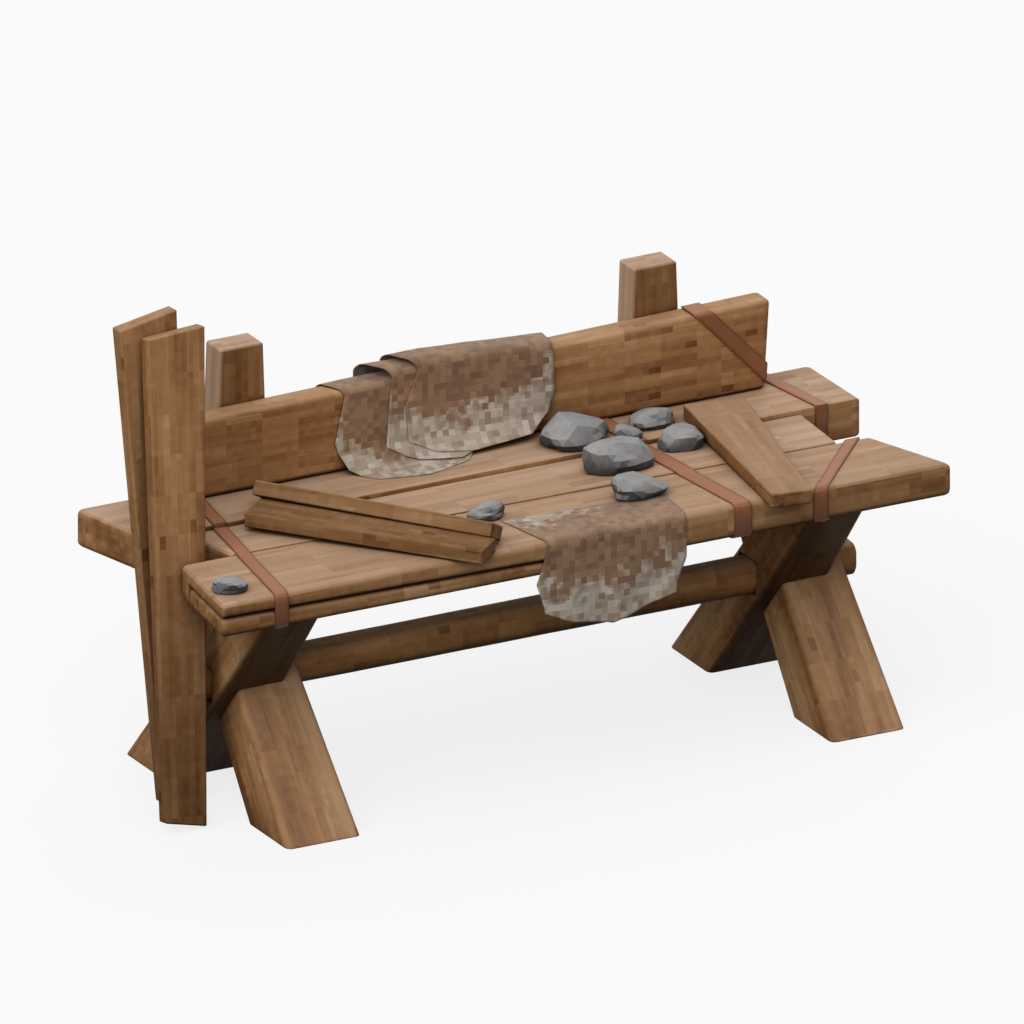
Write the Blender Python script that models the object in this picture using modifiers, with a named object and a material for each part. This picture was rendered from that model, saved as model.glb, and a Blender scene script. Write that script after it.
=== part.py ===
"""Rustic trestle workbench: two crossed-leg trestles, a plank top, a backboard on posts,
leather straps, leaning and loose boards, stones and draped hides. Metres, +Z up."""

import math

import bmesh
import bpy
from mathutils import Matrix, Vector

# Driving dimensions, in metres
FIT = 0.0003

TRESTLE_SPACING = 1.604
TRESTLE_HEIGHT = 0.612
FOOT_SPREAD = 0.585
HEAD_SPREAD = 0.466
LEG_FOOT_WIDTH = 0.218
LEG_HEAD_WIDTH = 0.170
LEG_FOOT_DEPTH = 0.222
LEG_HEAD_DEPTH = 0.197
LEG_STAGGER = 0.050
LEG_ROUND = 0.015

STRETCHER_HEIGHT = 0.093
STRETCHER_DEPTH = 0.099
STRETCHER_FORWARD = 0.0035
STRETCHER_PROUD = 0.058
STRETCHER_ROUND = 0.018

BEARER_WIDTH = 0.078
BEARER_HEIGHT = 0.066
BEARER_LENGTH = 0.478

TOP_DEPTH = 0.759
TOP_SETBACK = 0.0075
FRONT_PLANK_DEPTH_LEFT = 0.307
FRONT_PLANK_DEPTH_RIGHT = 0.263
REAR_PLANK_DEPTH = 0.273
FRONT_PLANK_THICK = 0.091
MIDDLE_PLANK_THICK = 0.094
REAR_PLANK_THICK = 0.106
PLANK_JOINT = 0.0015
PLANK_ROUND = 0.016
PLANK_ARRIS = 0.003
ROUND_STEPS = 3
ROUND_PROFILE = 0.5
ROUND_ANGLE = math.radians(30)
OPEN_EDGE_SHARE = 0.4
FRONT_PLANK_LEFT = -1.063
FRONT_PLANK_RIGHT = 1.091
FRONT_PLANK_LEFT_SKEW = 0.042
FRONT_PLANK_RIGHT_SKEW = -0.096
MIDDLE_PLANK_LEFT = -0.870
MIDDLE_PLANK_RIGHT = 0.889
MIDDLE_PLANK_LEFT_SKEW = -0.039
MIDDLE_PLANK_RIGHT_SKEW = 0.012
REAR_PLANK_LEFT = -1.027
REAR_PLANK_RIGHT = 1.081
REAR_PLANK_LEFT_SKEW = -0.064
REAR_PLANK_RIGHT_SKEW = -0.008

PACKING_LENGTH = 1.119
PACKING_DEPTH = 0.250
PACKING_THICK_LEFT = 0.049
PACKING_THICK_RIGHT = 0.031
PACKING_ROUND = 0.014
PACKING_GROOVE = 0.013

BACKBOARD_LEFT = -0.953
BACKBOARD_RIGHT = 0.890
BACKBOARD_RAKE = 0.016
BACKBOARD_HEIGHT = 0.247
BACKBOARD_LEFT_DROP = 0.033
BACKBOARD_THICK = 0.073
BACKBOARD_SETBACK = 0.028
BACKBOARD_ROUND = 0.013

POST_CENTRES = {"left": -0.613, "right": 0.605}
POST_TOP_WIDTH = 0.125
POST_FLARE = 0.037
POST_DEPTH = 0.085
POST_RISE = 0.125
POST_DROP = 0.109
POST_ROUND = 0.004

PEG_DIAMETER = 0.024
PEG_SIDES = 12
BEARER_PEG_BITE = 0.020
BEARER_PEG_INSET = 0.057
STRETCHER_PEG_LENGTH = 0.130
STRETCHER_PEG_BITE = 0.030
POST_PEG_BITE = 0.045
POST_PEG_PROUD = 0.006

STRAP_THICK = 0.004
STRAP_TUCK = 0.028
STRAP_NAIL_INSET = 0.019
LEFT_STRAP_WIDTH = 0.039
LEFT_STRAP_FRONT = -0.907
LEFT_STRAP_SLANT = 0.155
RIGHT_STRAP_WIDTH = 0.050
RIGHT_STRAP_FRONT = 0.447
RIGHT_STRAP_SLANT = -0.105
CORNER_STRAP_WIDTH = 0.042
CORNER_STRAP_FRONT = 0.680
CORNER_STRAP_SLANT = 0.890
REAR_STRAP_WIDTH = 0.036
REAR_STRAP_FRONT = 0.944
REAR_STRAP_SLANT = -0.146
BINDING_WIDTH = 0.040
BINDING_TOP_INSET = 0.187
BINDING_DROP = 0.198
STRAP_NAIL_DIAMETER = 0.007
STRAP_NAIL_LENGTH = 0.040
STRAP_NAIL_HEAD = 0.018
STRAP_NAIL_HEAD_THICK = 0.003

LEANING_THICK = 0.043
REAR_LEAN = math.radians(3.3)
REAR_LEANING_FOOT_WIDTH = 0.086
REAR_LEANING_HEAD_WIDTH = 0.170
REAR_LEANING_LENGTH = 1.314
REAR_LEANING_HEAD_CUT = 0.029
REAR_LEANING_X = -0.979
REAR_LEANING_HEAD_SHIFT = -0.046
FRONT_LEAN = math.radians(10.3)
FRONT_LEANING_FOOT_WIDTH = 0.117
FRONT_LEANING_HEAD_WIDTH = 0.168
FRONT_LEANING_LENGTH = 1.308
FRONT_LEANING_FOOT_CUT = 0.027
FRONT_LEANING_HEAD_CUT = 0.008
FRONT_LEANING_X = -1.059
FRONT_LEANING_HEAD_SHIFT = 0.0935
FRONT_LEANING_SETTLE = 0.0010

LOOSE_THICK = 0.040
LOOSE_ROUND = 0.003
RIGHT_LOOSE_FOOT_WIDTH = 0.111
RIGHT_LOOSE_HEAD_WIDTH = 0.168
RIGHT_LOOSE_LENGTH = 0.632
RIGHT_LOOSE_HEAD_X = 0.683
RIGHT_LOOSE_HEAD_REACH = 0.071
RIGHT_LOOSE_YAW = math.radians(-9.3)
LOWER_LOOSE_FOOT_WIDTH = 0.098
LOWER_LOOSE_HEAD_WIDTH = 0.124
LOWER_LOOSE_LENGTH = 0.660
LOWER_LOOSE_HEAD_X = -0.720
LOWER_LOOSE_HEAD_REACH = -0.013
LOWER_LOOSE_YAW = math.radians(40.4)
UPPER_LOOSE_FOOT_WIDTH = 0.084
UPPER_LOOSE_HEAD_WIDTH = 0.104
UPPER_LOOSE_LENGTH = 0.664
UPPER_LOOSE_LAP = 0.005
UPPER_LOOSE_CLEAR = 0.0036
UPPER_LOOSE_HEAD_PROUD = 0.020

HIDE_THICK = 0.006
HIDE_FLAP = 0.060
HIDE_ROWS_BACK = 6
HIDE_ROWS_BEND = 8
HIDE_ROWS_FRONT = 14
HIDE_COLUMNS = 12
HIDE_BEND_STEPS = 4
BACK_HIDE_FIRST_GAP = 0.003
BACK_HIDE_LAYER_GAPS = {"left": 0.0, "middle": 0.0034, "right": 0.0051}
BACK_HIDE_FLARE_RISE = 0.050
BACK_HIDE_BEND_REACH = 0.020
BACK_HIDE_BEND_RISE = 0.015
BACK_HIDE_TOE_REACH = 0.055
BACK_HIDE_RUN_OUT = 0.200
FRONT_HIDE_STAND_OFF = 0.001
FRONT_HIDE_FOLD = 0.010
FRONT_HIDE_FOLDS = 2.5
# Each hide's edges: distance past the bend, its left and right edges along X
HIDE_EDGES = {
    "left": (
        (-0.110, -0.405, 0.035),
        (0.000, -0.353, 0.040),
        (0.130, -0.381, 0.045),
        (0.200, -0.353, 0.030),
    ),
    "middle": (
        (-0.110, -0.282, 0.154),
        (0.000, -0.214, 0.165),
        (0.050, -0.222, 0.170),
        (0.170, -0.231, 0.154),
    ),
    "right": (
        (-0.110, -0.202, 0.266),
        (0.000, -0.140, 0.256),
        (0.100, -0.180, 0.261),
        (0.170, -0.169, 0.243),
    ),
    "front": (
        (-0.209, -0.142, 0.329),
        (0.000, -0.103, 0.305),
        (0.097, -0.137, 0.303),
        (0.167, -0.113, 0.271),
    ),
}
# How far each hide's front end hangs past the bend, at shares of the way across it
HIDE_DROPS = {
    "left": ((0.0, 0.208), (0.15, 0.278), (0.5, 0.311), (0.85, 0.273), (1.0, 0.198)),
    "middle": ((0.0, 0.193), (0.2, 0.241), (0.5, 0.261), (1.0, 0.163)),
    "right": ((0.0, 0.196), (0.2, 0.241), (0.42, 0.253), (0.85, 0.222), (1.0, 0.164)),
    "front": ((0.0, 0.181), (0.2, 0.215), (0.52, 0.240), (1.0, 0.188)),
}
# How far each back hide's crest stands off the backboard's top edge along X
BACK_HIDE_RISES = {
    "left": ((-0.405, 0.003), (0.045, 0.004)),
    "middle": ((-0.282, 0.038), (0.170, 0.0115)),
    "right": ((-0.202, 0.046), (-0.059, 0.043), (0.058, 0.033), (0.147, 0.024), (0.266, 0.0135)),
}
# Where the front hide's rear edge lies on the top, behind the front plank's rounding
FRONT_HIDE_REAR_LEFT = 0.171
FRONT_HIDE_REAR_RIGHT = 0.132

STONE_CUT = 0.42
STONE_DETAIL = 3
# Depth of each wave over a stone's face, its waves per unit way and its share of the seed
STONE_WAVES = (
    (0.10, Vector((3.1, 0, 0)), 1),
    (0.08, Vector((0, 4.3, 0)), 2),
    (0.07, Vector((2.0, 0, 5.2)), 3),
)
# Each stone: centre x and y, width, depth and height, seat, seed of its shape
STONES = (
    ("stone_01", 0.278, 0.180, 0.196, 0.130, 0.080, "rear", 3),
    ("stone_02", 0.508, 0.206, 0.128, 0.092, 0.048, "rear", 5),
    ("stone_03", 0.401, 0.134, 0.088, 0.066, 0.040, "strap", 8),
    ("stone_04", 0.520, 0.060, 0.124, 0.096, 0.054, "middle", 12),
    ("stone_05", 0.302, 0.008, 0.200, 0.130, 0.078, "middle", 17),
    ("stone_06", 0.266, -0.190, 0.154, 0.104, 0.056, "hide", 21),
    ("stone_07", -0.162, -0.133, 0.110, 0.084, 0.046, "front", 26),
    ("stone_08", -0.989, -0.283, 0.100, 0.080, 0.040, "front", 31),
)

# Derived levels and lines
CROSSING_HEIGHT = TRESTLE_HEIGHT * FOOT_SPREAD / (FOOT_SPREAD + HEAD_SPREAD)
PLANK_SEAT = TRESTLE_HEIGHT + FIT
FRONT_TOP = PLANK_SEAT + FRONT_PLANK_THICK
MIDDLE_TOP = PLANK_SEAT + MIDDLE_PLANK_THICK
REAR_TOP = PLANK_SEAT + REAR_PLANK_THICK
TOP_FRONT = TOP_SETBACK - TOP_DEPTH / 2
TOP_REAR = TOP_SETBACK + TOP_DEPTH / 2
REAR_SEAM = TOP_REAR - REAR_PLANK_DEPTH
BACKBOARD_REAR = TOP_REAR - BACKBOARD_SETBACK
BACKBOARD_FRONT = BACKBOARD_REAR - BACKBOARD_THICK
BACKBOARD_FOOT = REAR_TOP + FIT
BACKBOARD_TOP = BACKBOARD_FOOT + BACKBOARD_HEIGHT
BACKBOARD_SLOPE = BACKBOARD_LEFT_DROP / (BACKBOARD_RIGHT - BACKBOARD_LEFT)
POST_FRONT = BACKBOARD_REAR + FIT
POST_TOP = BACKBOARD_TOP + POST_RISE
POST_BOTTOM = TRESTLE_HEIGHT - POST_DROP
SIDES = {"left": -TRESTLE_SPACING / 2, "right": TRESTLE_SPACING / 2}

WOOD = (0.42, 0.27, 0.16)
WOOD_PALE = (0.50, 0.35, 0.23)
WOOD_DARK = (0.25, 0.15, 0.08)
LEATHER = (0.40, 0.17, 0.10)
STONE = (0.30, 0.31, 0.32)
HIDE = (0.30, 0.20, 0.14)
IRON = (0.09, 0.08, 0.08)
WOOD_FINISH = 0.8
LEATHER_FINISH = 0.6
STONE_FINISH = 0.9
HIDE_FINISH = 0.95
IRON_FINISH = 0.6
IRON_METALLIC = 0.8


def clear_scene():
    for item in list(bpy.data.objects):
        bpy.data.objects.remove(item)


def new_collection(name):
    group = bpy.data.collections.new(name)
    bpy.context.scene.collection.children.link(group)
    return group


def material(name, colour, roughness, metallic=0.0):
    made = bpy.data.materials.new(name)
    made.use_nodes = True
    shader = made.node_tree.nodes["Principled BSDF"]
    shader.inputs["Base Color"].default_value = (*colour, 1.0)
    shader.inputs["Roughness"].default_value = roughness
    shader.inputs["Metallic"].default_value = metallic
    return made


clear_scene()
PARTS = new_collection("workbench")
CUTTERS = new_collection("cutters")
ASSEMBLY = bpy.data.objects.new("workbench_frame", None)
PARTS.objects.link(ASSEMBLY)


def add_part(name, mesh, colour, roughness=WOOD_FINISH, metallic=0.0, location=(0, 0, 0)):
    mesh.materials.append(material(name + "_finish", colour, roughness, metallic))
    part = bpy.data.objects.new(name, mesh)
    part.location = location
    part.parent = ASSEMBLY
    PARTS.objects.link(part)
    return part


def add_cutter(name, mesh, location=(0, 0, 0)):
    cutter = bpy.data.objects.new(name, mesh)
    cutter.location = location
    cutter.parent = ASSEMBLY
    cutter.hide_render = True
    cutter.display_type = "WIRE"
    CUTTERS.objects.link(cutter)
    return cutter


def boolean(part, cutter, operation="DIFFERENCE"):
    step = part.modifiers.new(operation.lower(), "BOOLEAN")
    step.object = cutter
    step.operation = operation
    step.solver = "EXACT"


def round_edges(part, width, segments=2):
    step = part.modifiers.new("rounding", "BEVEL")
    step.width = width
    step.segments = segments
    step.limit_method = "ANGLE"
    step.angle_limit = ROUND_ANGLE


def mesh_from(build, name):
    shape = bmesh.new()
    build(shape)
    bmesh.ops.recalc_face_normals(shape, faces=shape.faces)
    mesh = bpy.data.meshes.new(name)
    shape.to_mesh(mesh)
    shape.free()
    return mesh


def box_mesh(name, size, centre=(0, 0, 0)):
    def build(shape):
        place = Matrix.Translation(centre) @ Matrix.Diagonal((*size, 1.0))
        bmesh.ops.create_cube(shape, size=1.0, matrix=place)

    return mesh_from(build, name)


def ease(shape, edges, rounding):
    """Round some edges of a shape that is being built."""
    bmesh.ops.bevel(shape, geom=edges, offset=rounding, segments=ROUND_STEPS, profile=ROUND_PROFILE,
                    affect="EDGES")


def rail_mesh(name, size, rounding):
    """A rail along X with its long edges rounded and its ends cut square."""

    def build(shape):
        bmesh.ops.create_cube(shape, size=1.0, matrix=Matrix.Diagonal((*size, 1.0)))
        long_edges = [edge for edge in shape.edges if edge.verts[0].co.x * edge.verts[1].co.x < 0]
        ease(shape, long_edges, rounding)

    return mesh_from(build, name)


def cylinder_mesh(name, diameter, length, turn=None):
    def build(shape):
        bmesh.ops.create_cone(
            shape, cap_ends=True, segments=PEG_SIDES,
            radius1=diameter / 2, radius2=diameter / 2, depth=length,
            matrix=turn or Matrix.Identity(4),
        )

    return mesh_from(build, name)


def mix(start, end, share):
    return start + (end - start) * share


# Trestles
def leg_mesh(name, lean, grow=0.0):
    """A tapered baulk with rounded long edges, from its foot on the floor to its level head; lean is the
    way it goes up."""

    def build(shape):
        bmesh.ops.create_cube(shape, size=1.0)
        for corner in shape.verts:
            rise = corner.co.z + 0.5
            width = mix(LEG_FOOT_WIDTH, LEG_HEAD_WIDTH, rise) + 2 * grow
            depth = mix(LEG_FOOT_DEPTH, LEG_HEAD_DEPTH, rise) + 2 * grow
            centre = mix(-FOOT_SPREAD / 2, HEAD_SPREAD / 2, rise) * lean
            corner.co.x *= width
            corner.co.y = corner.co.y * depth + centre
            corner.co.z = rise * TRESTLE_HEIGHT
        long_edges = [edge for edge in shape.edges if abs(edge.verts[0].co.z - edge.verts[1].co.z) > 0]
        ease(shape, long_edges, LEG_ROUND)

    return mesh_from(build, name)


def leg(side, end):
    """One leg, halved over its partner at the crossing; end is where its foot stands."""
    lean = 1 if end == "front" else -1
    shift = lean * LEG_STAGGER / 2
    part = add_part(f"{side}_{end}_leg", leg_mesh("leg", lean), WOOD, location=(SIDES[side] + shift, 0, 0))
    partner_place = (SIDES[side] - shift, 0, 0)
    partner = add_cutter(f"{part.name}_halving", leg_mesh("halving", -lean, FIT), partner_place)
    half = (LEG_FOOT_WIDTH, 2 * FOOT_SPREAD, 2 * TRESTLE_HEIGHT)
    keep_x = SIDES[side] - lean * (LEG_FOOT_WIDTH / 2 - FIT / 2)
    keep = add_cutter(f"{part.name}_half", box_mesh("half", half), (keep_x, 0, TRESTLE_HEIGHT / 2))
    boolean(partner, keep, "INTERSECT")
    boolean(part, partner)
    return part


def stretcher():
    outer = mix(LEG_FOOT_WIDTH, LEG_HEAD_WIDTH, CROSSING_HEIGHT / TRESTLE_HEIGHT) / 2
    length = TRESTLE_SPACING + LEG_STAGGER + 2 * (outer + STRETCHER_PROUD)
    place = (0, -STRETCHER_FORWARD, CROSSING_HEIGHT)
    mesh = rail_mesh("stretcher", (length, STRETCHER_DEPTH, STRETCHER_HEIGHT), STRETCHER_ROUND)
    part = add_part("stretcher", mesh, WOOD, location=place)
    size = (length, STRETCHER_DEPTH + 2 * FIT, STRETCHER_HEIGHT + 2 * FIT)
    return part, add_cutter("stretcher_mortise", box_mesh("mortise", size), place)


def bearer(side):
    """A cross rail let into the leg heads, level with them, that carries all three planks."""
    place = (SIDES[side], 0, TRESTLE_HEIGHT - BEARER_HEIGHT / 2)
    size = (BEARER_WIDTH, BEARER_LENGTH, BEARER_HEIGHT)
    part = add_part(f"{side}_bearer", box_mesh("bearer", size), WOOD_DARK, location=place)
    housing = tuple(length + 2 * FIT for length in size)
    return part, add_cutter(f"{side}_housing", box_mesh("housing", housing), place)


def stretcher_peg(side, rail):
    """A peg driven from behind, through the halving and into the stretcher."""
    rail_rear = STRETCHER_DEPTH / 2 - STRETCHER_FORWARD
    centre = rail_rear - STRETCHER_PEG_BITE + STRETCHER_PEG_LENGTH / 2
    place = (SIDES[side], centre, CROSSING_HEIGHT)
    turn = Matrix.Rotation(math.pi / 2, 4, "X")
    add_part(f"{side}_stretcher_peg", cylinder_mesh("peg", PEG_DIAMETER, STRETCHER_PEG_LENGTH, turn),
             WOOD_DARK, location=place)
    hole = cylinder_mesh("hole", PEG_DIAMETER + 2 * FIT, STRETCHER_PEG_LENGTH + 2 * FIT, turn)
    cutter = add_cutter(f"{side}_stretcher_hole", hole, place)
    boolean(rail, cutter)
    return cutter


def trestles():
    rail, mortise = stretcher()
    bearers = {}
    for side in SIDES:
        bearers[side], housing = bearer(side)
        hole = stretcher_peg(side, rail)
        for end in ("front", "rear"):
            part = leg(side, end)
            boolean(part, mortise)
            boolean(part, housing)
            boolean(part, hole)
    return bearers


# Plank top
def plank_mesh(name, left, right, left_skew, right_skew, front_edge, rear_edge, thick):
    """A plank whose ends run askew; a skew is the rear corner's shift along X, an edge is Y at an X."""

    def build(shape):
        bmesh.ops.create_cube(shape, size=1.0)
        for corner in shape.verts:
            at_rear = corner.co.y > 0
            x = left + left_skew * at_rear if corner.co.x < 0 else right + right_skew * at_rear
            y = rear_edge(x) if at_rear else front_edge(x)
            corner.co = (x, y, PLANK_SEAT + thick * (corner.co.z + 0.5))

    return mesh_from(build, name)


def round_open_edges(part, faces):
    """Round the edges round the open faces fully and ease the others to an arris."""
    mesh = part.data
    weights = mesh.attributes.new("bevel_weight_edge", "FLOAT", "EDGE")
    centre = sum((corner.co for corner in mesh.vertices), Vector()) / len(mesh.vertices)
    for edge in mesh.edges:
        middle = (mesh.vertices[edge.vertices[0]].co + mesh.vertices[edge.vertices[1]].co) / 2 - centre
        sides = (("left", -middle.x), ("right", middle.x), ("front", -middle.y), ("rear", middle.y))
        is_open = any(face in faces and offset > OPEN_EDGE_SHARE * extent_of(mesh, face)
                      for face, offset in sides)
        weights.data[edge.index].value = 1.0 if is_open else PLANK_ARRIS / PLANK_ROUND
    step = part.modifiers.new("rounding", "BEVEL")
    step.width = PLANK_ROUND
    step.segments = ROUND_STEPS
    step.limit_method = "WEIGHT"
    part.modifiers.new("flat_faces", "TRIANGULATE")


def extent_of(mesh, face):
    axis = 0 if face in ("left", "right") else 1
    values = [corner.co[axis] for corner in mesh.vertices]
    return max(values) - min(values)


def seam_at(x):
    """The Y of the front plank's rear edge at a place along the bench."""
    left = FRONT_PLANK_LEFT + FRONT_PLANK_LEFT_SKEW
    right = FRONT_PLANK_RIGHT + FRONT_PLANK_RIGHT_SKEW
    depth = mix(FRONT_PLANK_DEPTH_LEFT, FRONT_PLANK_DEPTH_RIGHT, (x - left) / (right - left))
    return TOP_FRONT + depth


def front_plank():
    mesh = plank_mesh("front_plank", FRONT_PLANK_LEFT, FRONT_PLANK_RIGHT, FRONT_PLANK_LEFT_SKEW,
                      FRONT_PLANK_RIGHT_SKEW, lambda x: TOP_FRONT, seam_at, FRONT_PLANK_THICK)
    part = add_part("front_plank", mesh, WOOD_PALE)
    round_open_edges(part, ("left", "right", "front"))
    return part


def middle_plank():
    mesh = plank_mesh("middle_plank", MIDDLE_PLANK_LEFT, MIDDLE_PLANK_RIGHT, MIDDLE_PLANK_LEFT_SKEW,
                      MIDDLE_PLANK_RIGHT_SKEW, lambda x: seam_at(x) + PLANK_JOINT,
                      lambda x: REAR_SEAM - PLANK_JOINT, MIDDLE_PLANK_THICK)
    part = add_part("middle_plank", mesh, WOOD_PALE)
    round_open_edges(part, ("left",))
    return part


def rear_plank():
    mesh = plank_mesh("rear_plank", REAR_PLANK_LEFT, REAR_PLANK_RIGHT, REAR_PLANK_LEFT_SKEW,
                      REAR_PLANK_RIGHT_SKEW, lambda x: REAR_SEAM, lambda x: TOP_REAR, REAR_PLANK_THICK)
    part = add_part("rear_plank", mesh, WOOD_PALE)
    round_open_edges(part, ("left", "right", "rear"))
    return part


def packing_mesh(name, grow=0.0):
    """A thin tapered board that thickens toward the left end, let in under the front plank."""

    def build(shape):
        bmesh.ops.create_cube(shape, size=1.0)
        for corner in shape.verts:
            at_rear = corner.co.y > 0
            on_left = corner.co.x < 0
            thick = PACKING_THICK_LEFT if on_left else PACKING_THICK_RIGHT
            skew = FRONT_PLANK_LEFT_SKEW * at_rear * on_left * PACKING_DEPTH / FRONT_PLANK_DEPTH_LEFT
            reach = -grow if on_left else PACKING_LENGTH + grow
            below = corner.co.z < 0
            corner.co.x = FRONT_PLANK_LEFT + skew + reach
            corner.co.y = TOP_FRONT + (PACKING_DEPTH + grow if at_rear else -grow)
            corner.co.z = PLANK_SEAT + (-grow if below else thick + grow)

    return mesh_from(build, name)


def packing(plank):
    part = add_part("packing_board", packing_mesh("packing_board"), WOOD)
    round_edges(part, PACKING_ROUND, ROUND_STEPS)
    boolean(plank, add_cutter("packing_rebate", packing_mesh("packing_rebate", FIT)))
    seam = PLANK_SEAT + PACKING_THICK_LEFT
    corner = Vector((FRONT_PLANK_LEFT, TOP_FRONT, seam))
    along = Vector((PACKING_LENGTH, 0, PACKING_THICK_RIGHT - PACKING_THICK_LEFT))
    across = Vector((FRONT_PLANK_LEFT_SKEW * PACKING_DEPTH / FRONT_PLANK_DEPTH_LEFT, PACKING_DEPTH, 0))
    for name, run, inward in (("front", along, Vector((0, 1, 0))), ("left", across, Vector((1, 0, 0)))):
        mesh = groove_mesh(name, corner - run.normalized() * PACKING_GROOVE, corner + run, inward)
        boolean(plank, add_cutter(f"packing_{name}_groove", mesh))
    return part


def groove_mesh(name, start, end, inward):
    """A wedge that eases a plank's lower edge from start to end, cut inward and upward alike."""
    reach = PACKING_GROOVE + 2 * PLANK_ARRIS

    def build(shape):
        ends = []
        for point in (start, end):
            outer = point - inward * PLANK_ARRIS - Vector((0, 0, PLANK_ARRIS))
            above = outer + Vector((0, 0, reach))
            inner = outer + inward * reach
            ends.append([shape.verts.new(place) for place in (outer, inner, above)])
        shape.faces.new(ends[0])
        shape.faces.new(reversed(ends[1]))
        for first, second in ((0, 1), (1, 2), (2, 0)):
            shape.faces.new((ends[0][first], ends[0][second], ends[1][second], ends[1][first]))

    return mesh_from(build, name)


def bearer_pegs(bearers, planks, packing_board):
    """Blind pegs that stand in each bearer and reach up, past the packing board, into the planks."""
    rows = {
        "front": -BEARER_LENGTH / 2 + BEARER_PEG_INSET,
        "middle": (seam_at(0) + REAR_SEAM) / 2,
        "rear": BEARER_LENGTH / 2 - BEARER_PEG_INSET,
    }
    length = BEARER_HEIGHT + PACKING_THICK_LEFT + BEARER_PEG_BITE
    for side in SIDES:
        for row, y in rows.items():
            place = (SIDES[side], y, TRESTLE_HEIGHT - BEARER_HEIGHT + length / 2)
            add_part(f"{side}_{row}_bearer_peg", cylinder_mesh("peg", PEG_DIAMETER, length),
                     WOOD_DARK, location=place)
            hole = cylinder_mesh("hole", PEG_DIAMETER + 2 * FIT, length + 2 * FIT)
            cutter = add_cutter(f"{side}_{row}_peg_hole", hole, place)
            boolean(bearers[side], cutter)
            boolean(planks[row], cutter)
            if row == "front" and side == "left":
                boolean(packing_board, cutter)


# Backboard and posts
def backboard_top(x):
    """The height of the backboard's top edge, which falls toward the left."""
    return BACKBOARD_TOP - BACKBOARD_SLOPE * (BACKBOARD_RIGHT - x)


def backboard_mesh(name, grow=0.0):
    def build(shape):
        bmesh.ops.create_cube(shape, size=1.0)
        for corner in shape.verts:
            above = corner.co.z > 0
            right = BACKBOARD_RIGHT + BACKBOARD_RAKE * above + grow
            corner.co.x = BACKBOARD_LEFT - grow if corner.co.x < 0 else right
            corner.co.y = BACKBOARD_FRONT - grow if corner.co.y < 0 else BACKBOARD_REAR + grow
            corner.co.z = backboard_top(corner.co.x) + grow if above else BACKBOARD_FOOT - grow

    return mesh_from(build, name)


def backboard():
    part = add_part("backboard", backboard_mesh("backboard"), WOOD)
    round_edges(part, BACKBOARD_ROUND, ROUND_STEPS)
    return part


def post_mesh(name, grow=0.0):
    """A post that flares toward its lower end, standing on its own X centre."""
    height = POST_TOP - POST_BOTTOM

    def build(shape):
        bmesh.ops.create_cube(shape, size=1.0)
        for corner in shape.verts:
            rise = corner.co.z + 0.5
            width = POST_TOP_WIDTH + 2 * POST_FLARE * height * (1 - rise) + 2 * grow
            corner.co.x *= width
            corner.co.y = POST_FRONT - grow if corner.co.y < 0 else POST_FRONT + POST_DEPTH + grow
            corner.co.z = POST_BOTTOM + height * rise

    return mesh_from(build, name)


def posts(plank, board):
    """Posts let into the rear plank's edge, pegged to that plank and to the backboard."""
    turn = Matrix.Rotation(math.pi / 2, 4, "X")
    heights = {"lower": (PLANK_SEAT + REAR_TOP) / 2, "upper": (BACKBOARD_FOOT + BACKBOARD_TOP) / 2}
    length = POST_DEPTH + POST_PEG_BITE + POST_PEG_PROUD
    for side, x in POST_CENTRES.items():
        post = add_part(f"{side}_post", post_mesh("post"), WOOD, location=(x, 0, 0))
        round_edges(post, POST_ROUND, 1)
        boolean(plank, add_cutter(f"{side}_post_notch", post_mesh("notch", FIT), (x, 0, 0)))
        for level, z in heights.items():
            place = (x, POST_FRONT + POST_DEPTH + POST_PEG_PROUD - length / 2, z)
            add_part(f"{side}_{level}_post_peg", cylinder_mesh("peg", PEG_DIAMETER, length, turn),
                     WOOD_DARK, location=place)
            hole = cylinder_mesh("hole", PEG_DIAMETER + 2 * FIT, length + 2 * FIT, turn)
            cutter = add_cutter(f"{side}_{level}_post_hole", hole, place)
            boolean(post, cutter)
            boolean(board if level == "upper" else plank, cutter)


# Straps
def corner_arc(centre_y, centre_z, radius, start, end, steps=ROUND_STEPS):
    points = []
    for index in range(steps + 1):
        angle = math.radians(mix(start, end, index / steps))
        points.append((centre_y + radius * math.cos(angle), centre_z + radius * math.sin(angle)))
    return points


def strap_mesh(name, path, closed, front_left, slant, width, grow=0.0):
    """A leather band along a (y, z) path; slant is how far it drifts along X for each step in Y."""
    shape = bmesh.new()
    left = []
    right = []
    for y, z in path:
        x = front_left + slant * (y - TOP_FRONT)
        left.append(shape.verts.new((x - grow, y, z)))
        right.append(shape.verts.new((x + width + grow, y, z)))
    for index in range(len(path) if closed else len(path) - 1):
        after = (index + 1) % len(path)
        shape.faces.new((left[index], right[index], right[after], left[after]))
    mesh = bpy.data.meshes.new(name)
    shape.to_mesh(mesh)
    shape.free()
    return mesh


def thicken(part, thickness):
    step = part.modifiers.new("thickness", "SOLIDIFY")
    step.solidify_mode = "NON_MANIFOLD"
    step.nonmanifold_thickness_mode = "CONSTRAINTS"
    step.thickness = thickness
    step.offset = 1.0


def bench_front_path(lower_round):
    """From under the front plank, round its front edges and onto its top."""
    path = [(TOP_FRONT + STRAP_TUCK, PLANK_SEAT - FIT)]
    path += corner_arc(TOP_FRONT + lower_round, PLANK_SEAT + lower_round, lower_round + FIT, 270, 180)
    path += corner_arc(TOP_FRONT + PLANK_ROUND, FRONT_TOP - PLANK_ROUND, PLANK_ROUND + FIT, 180, 90)
    return path


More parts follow.
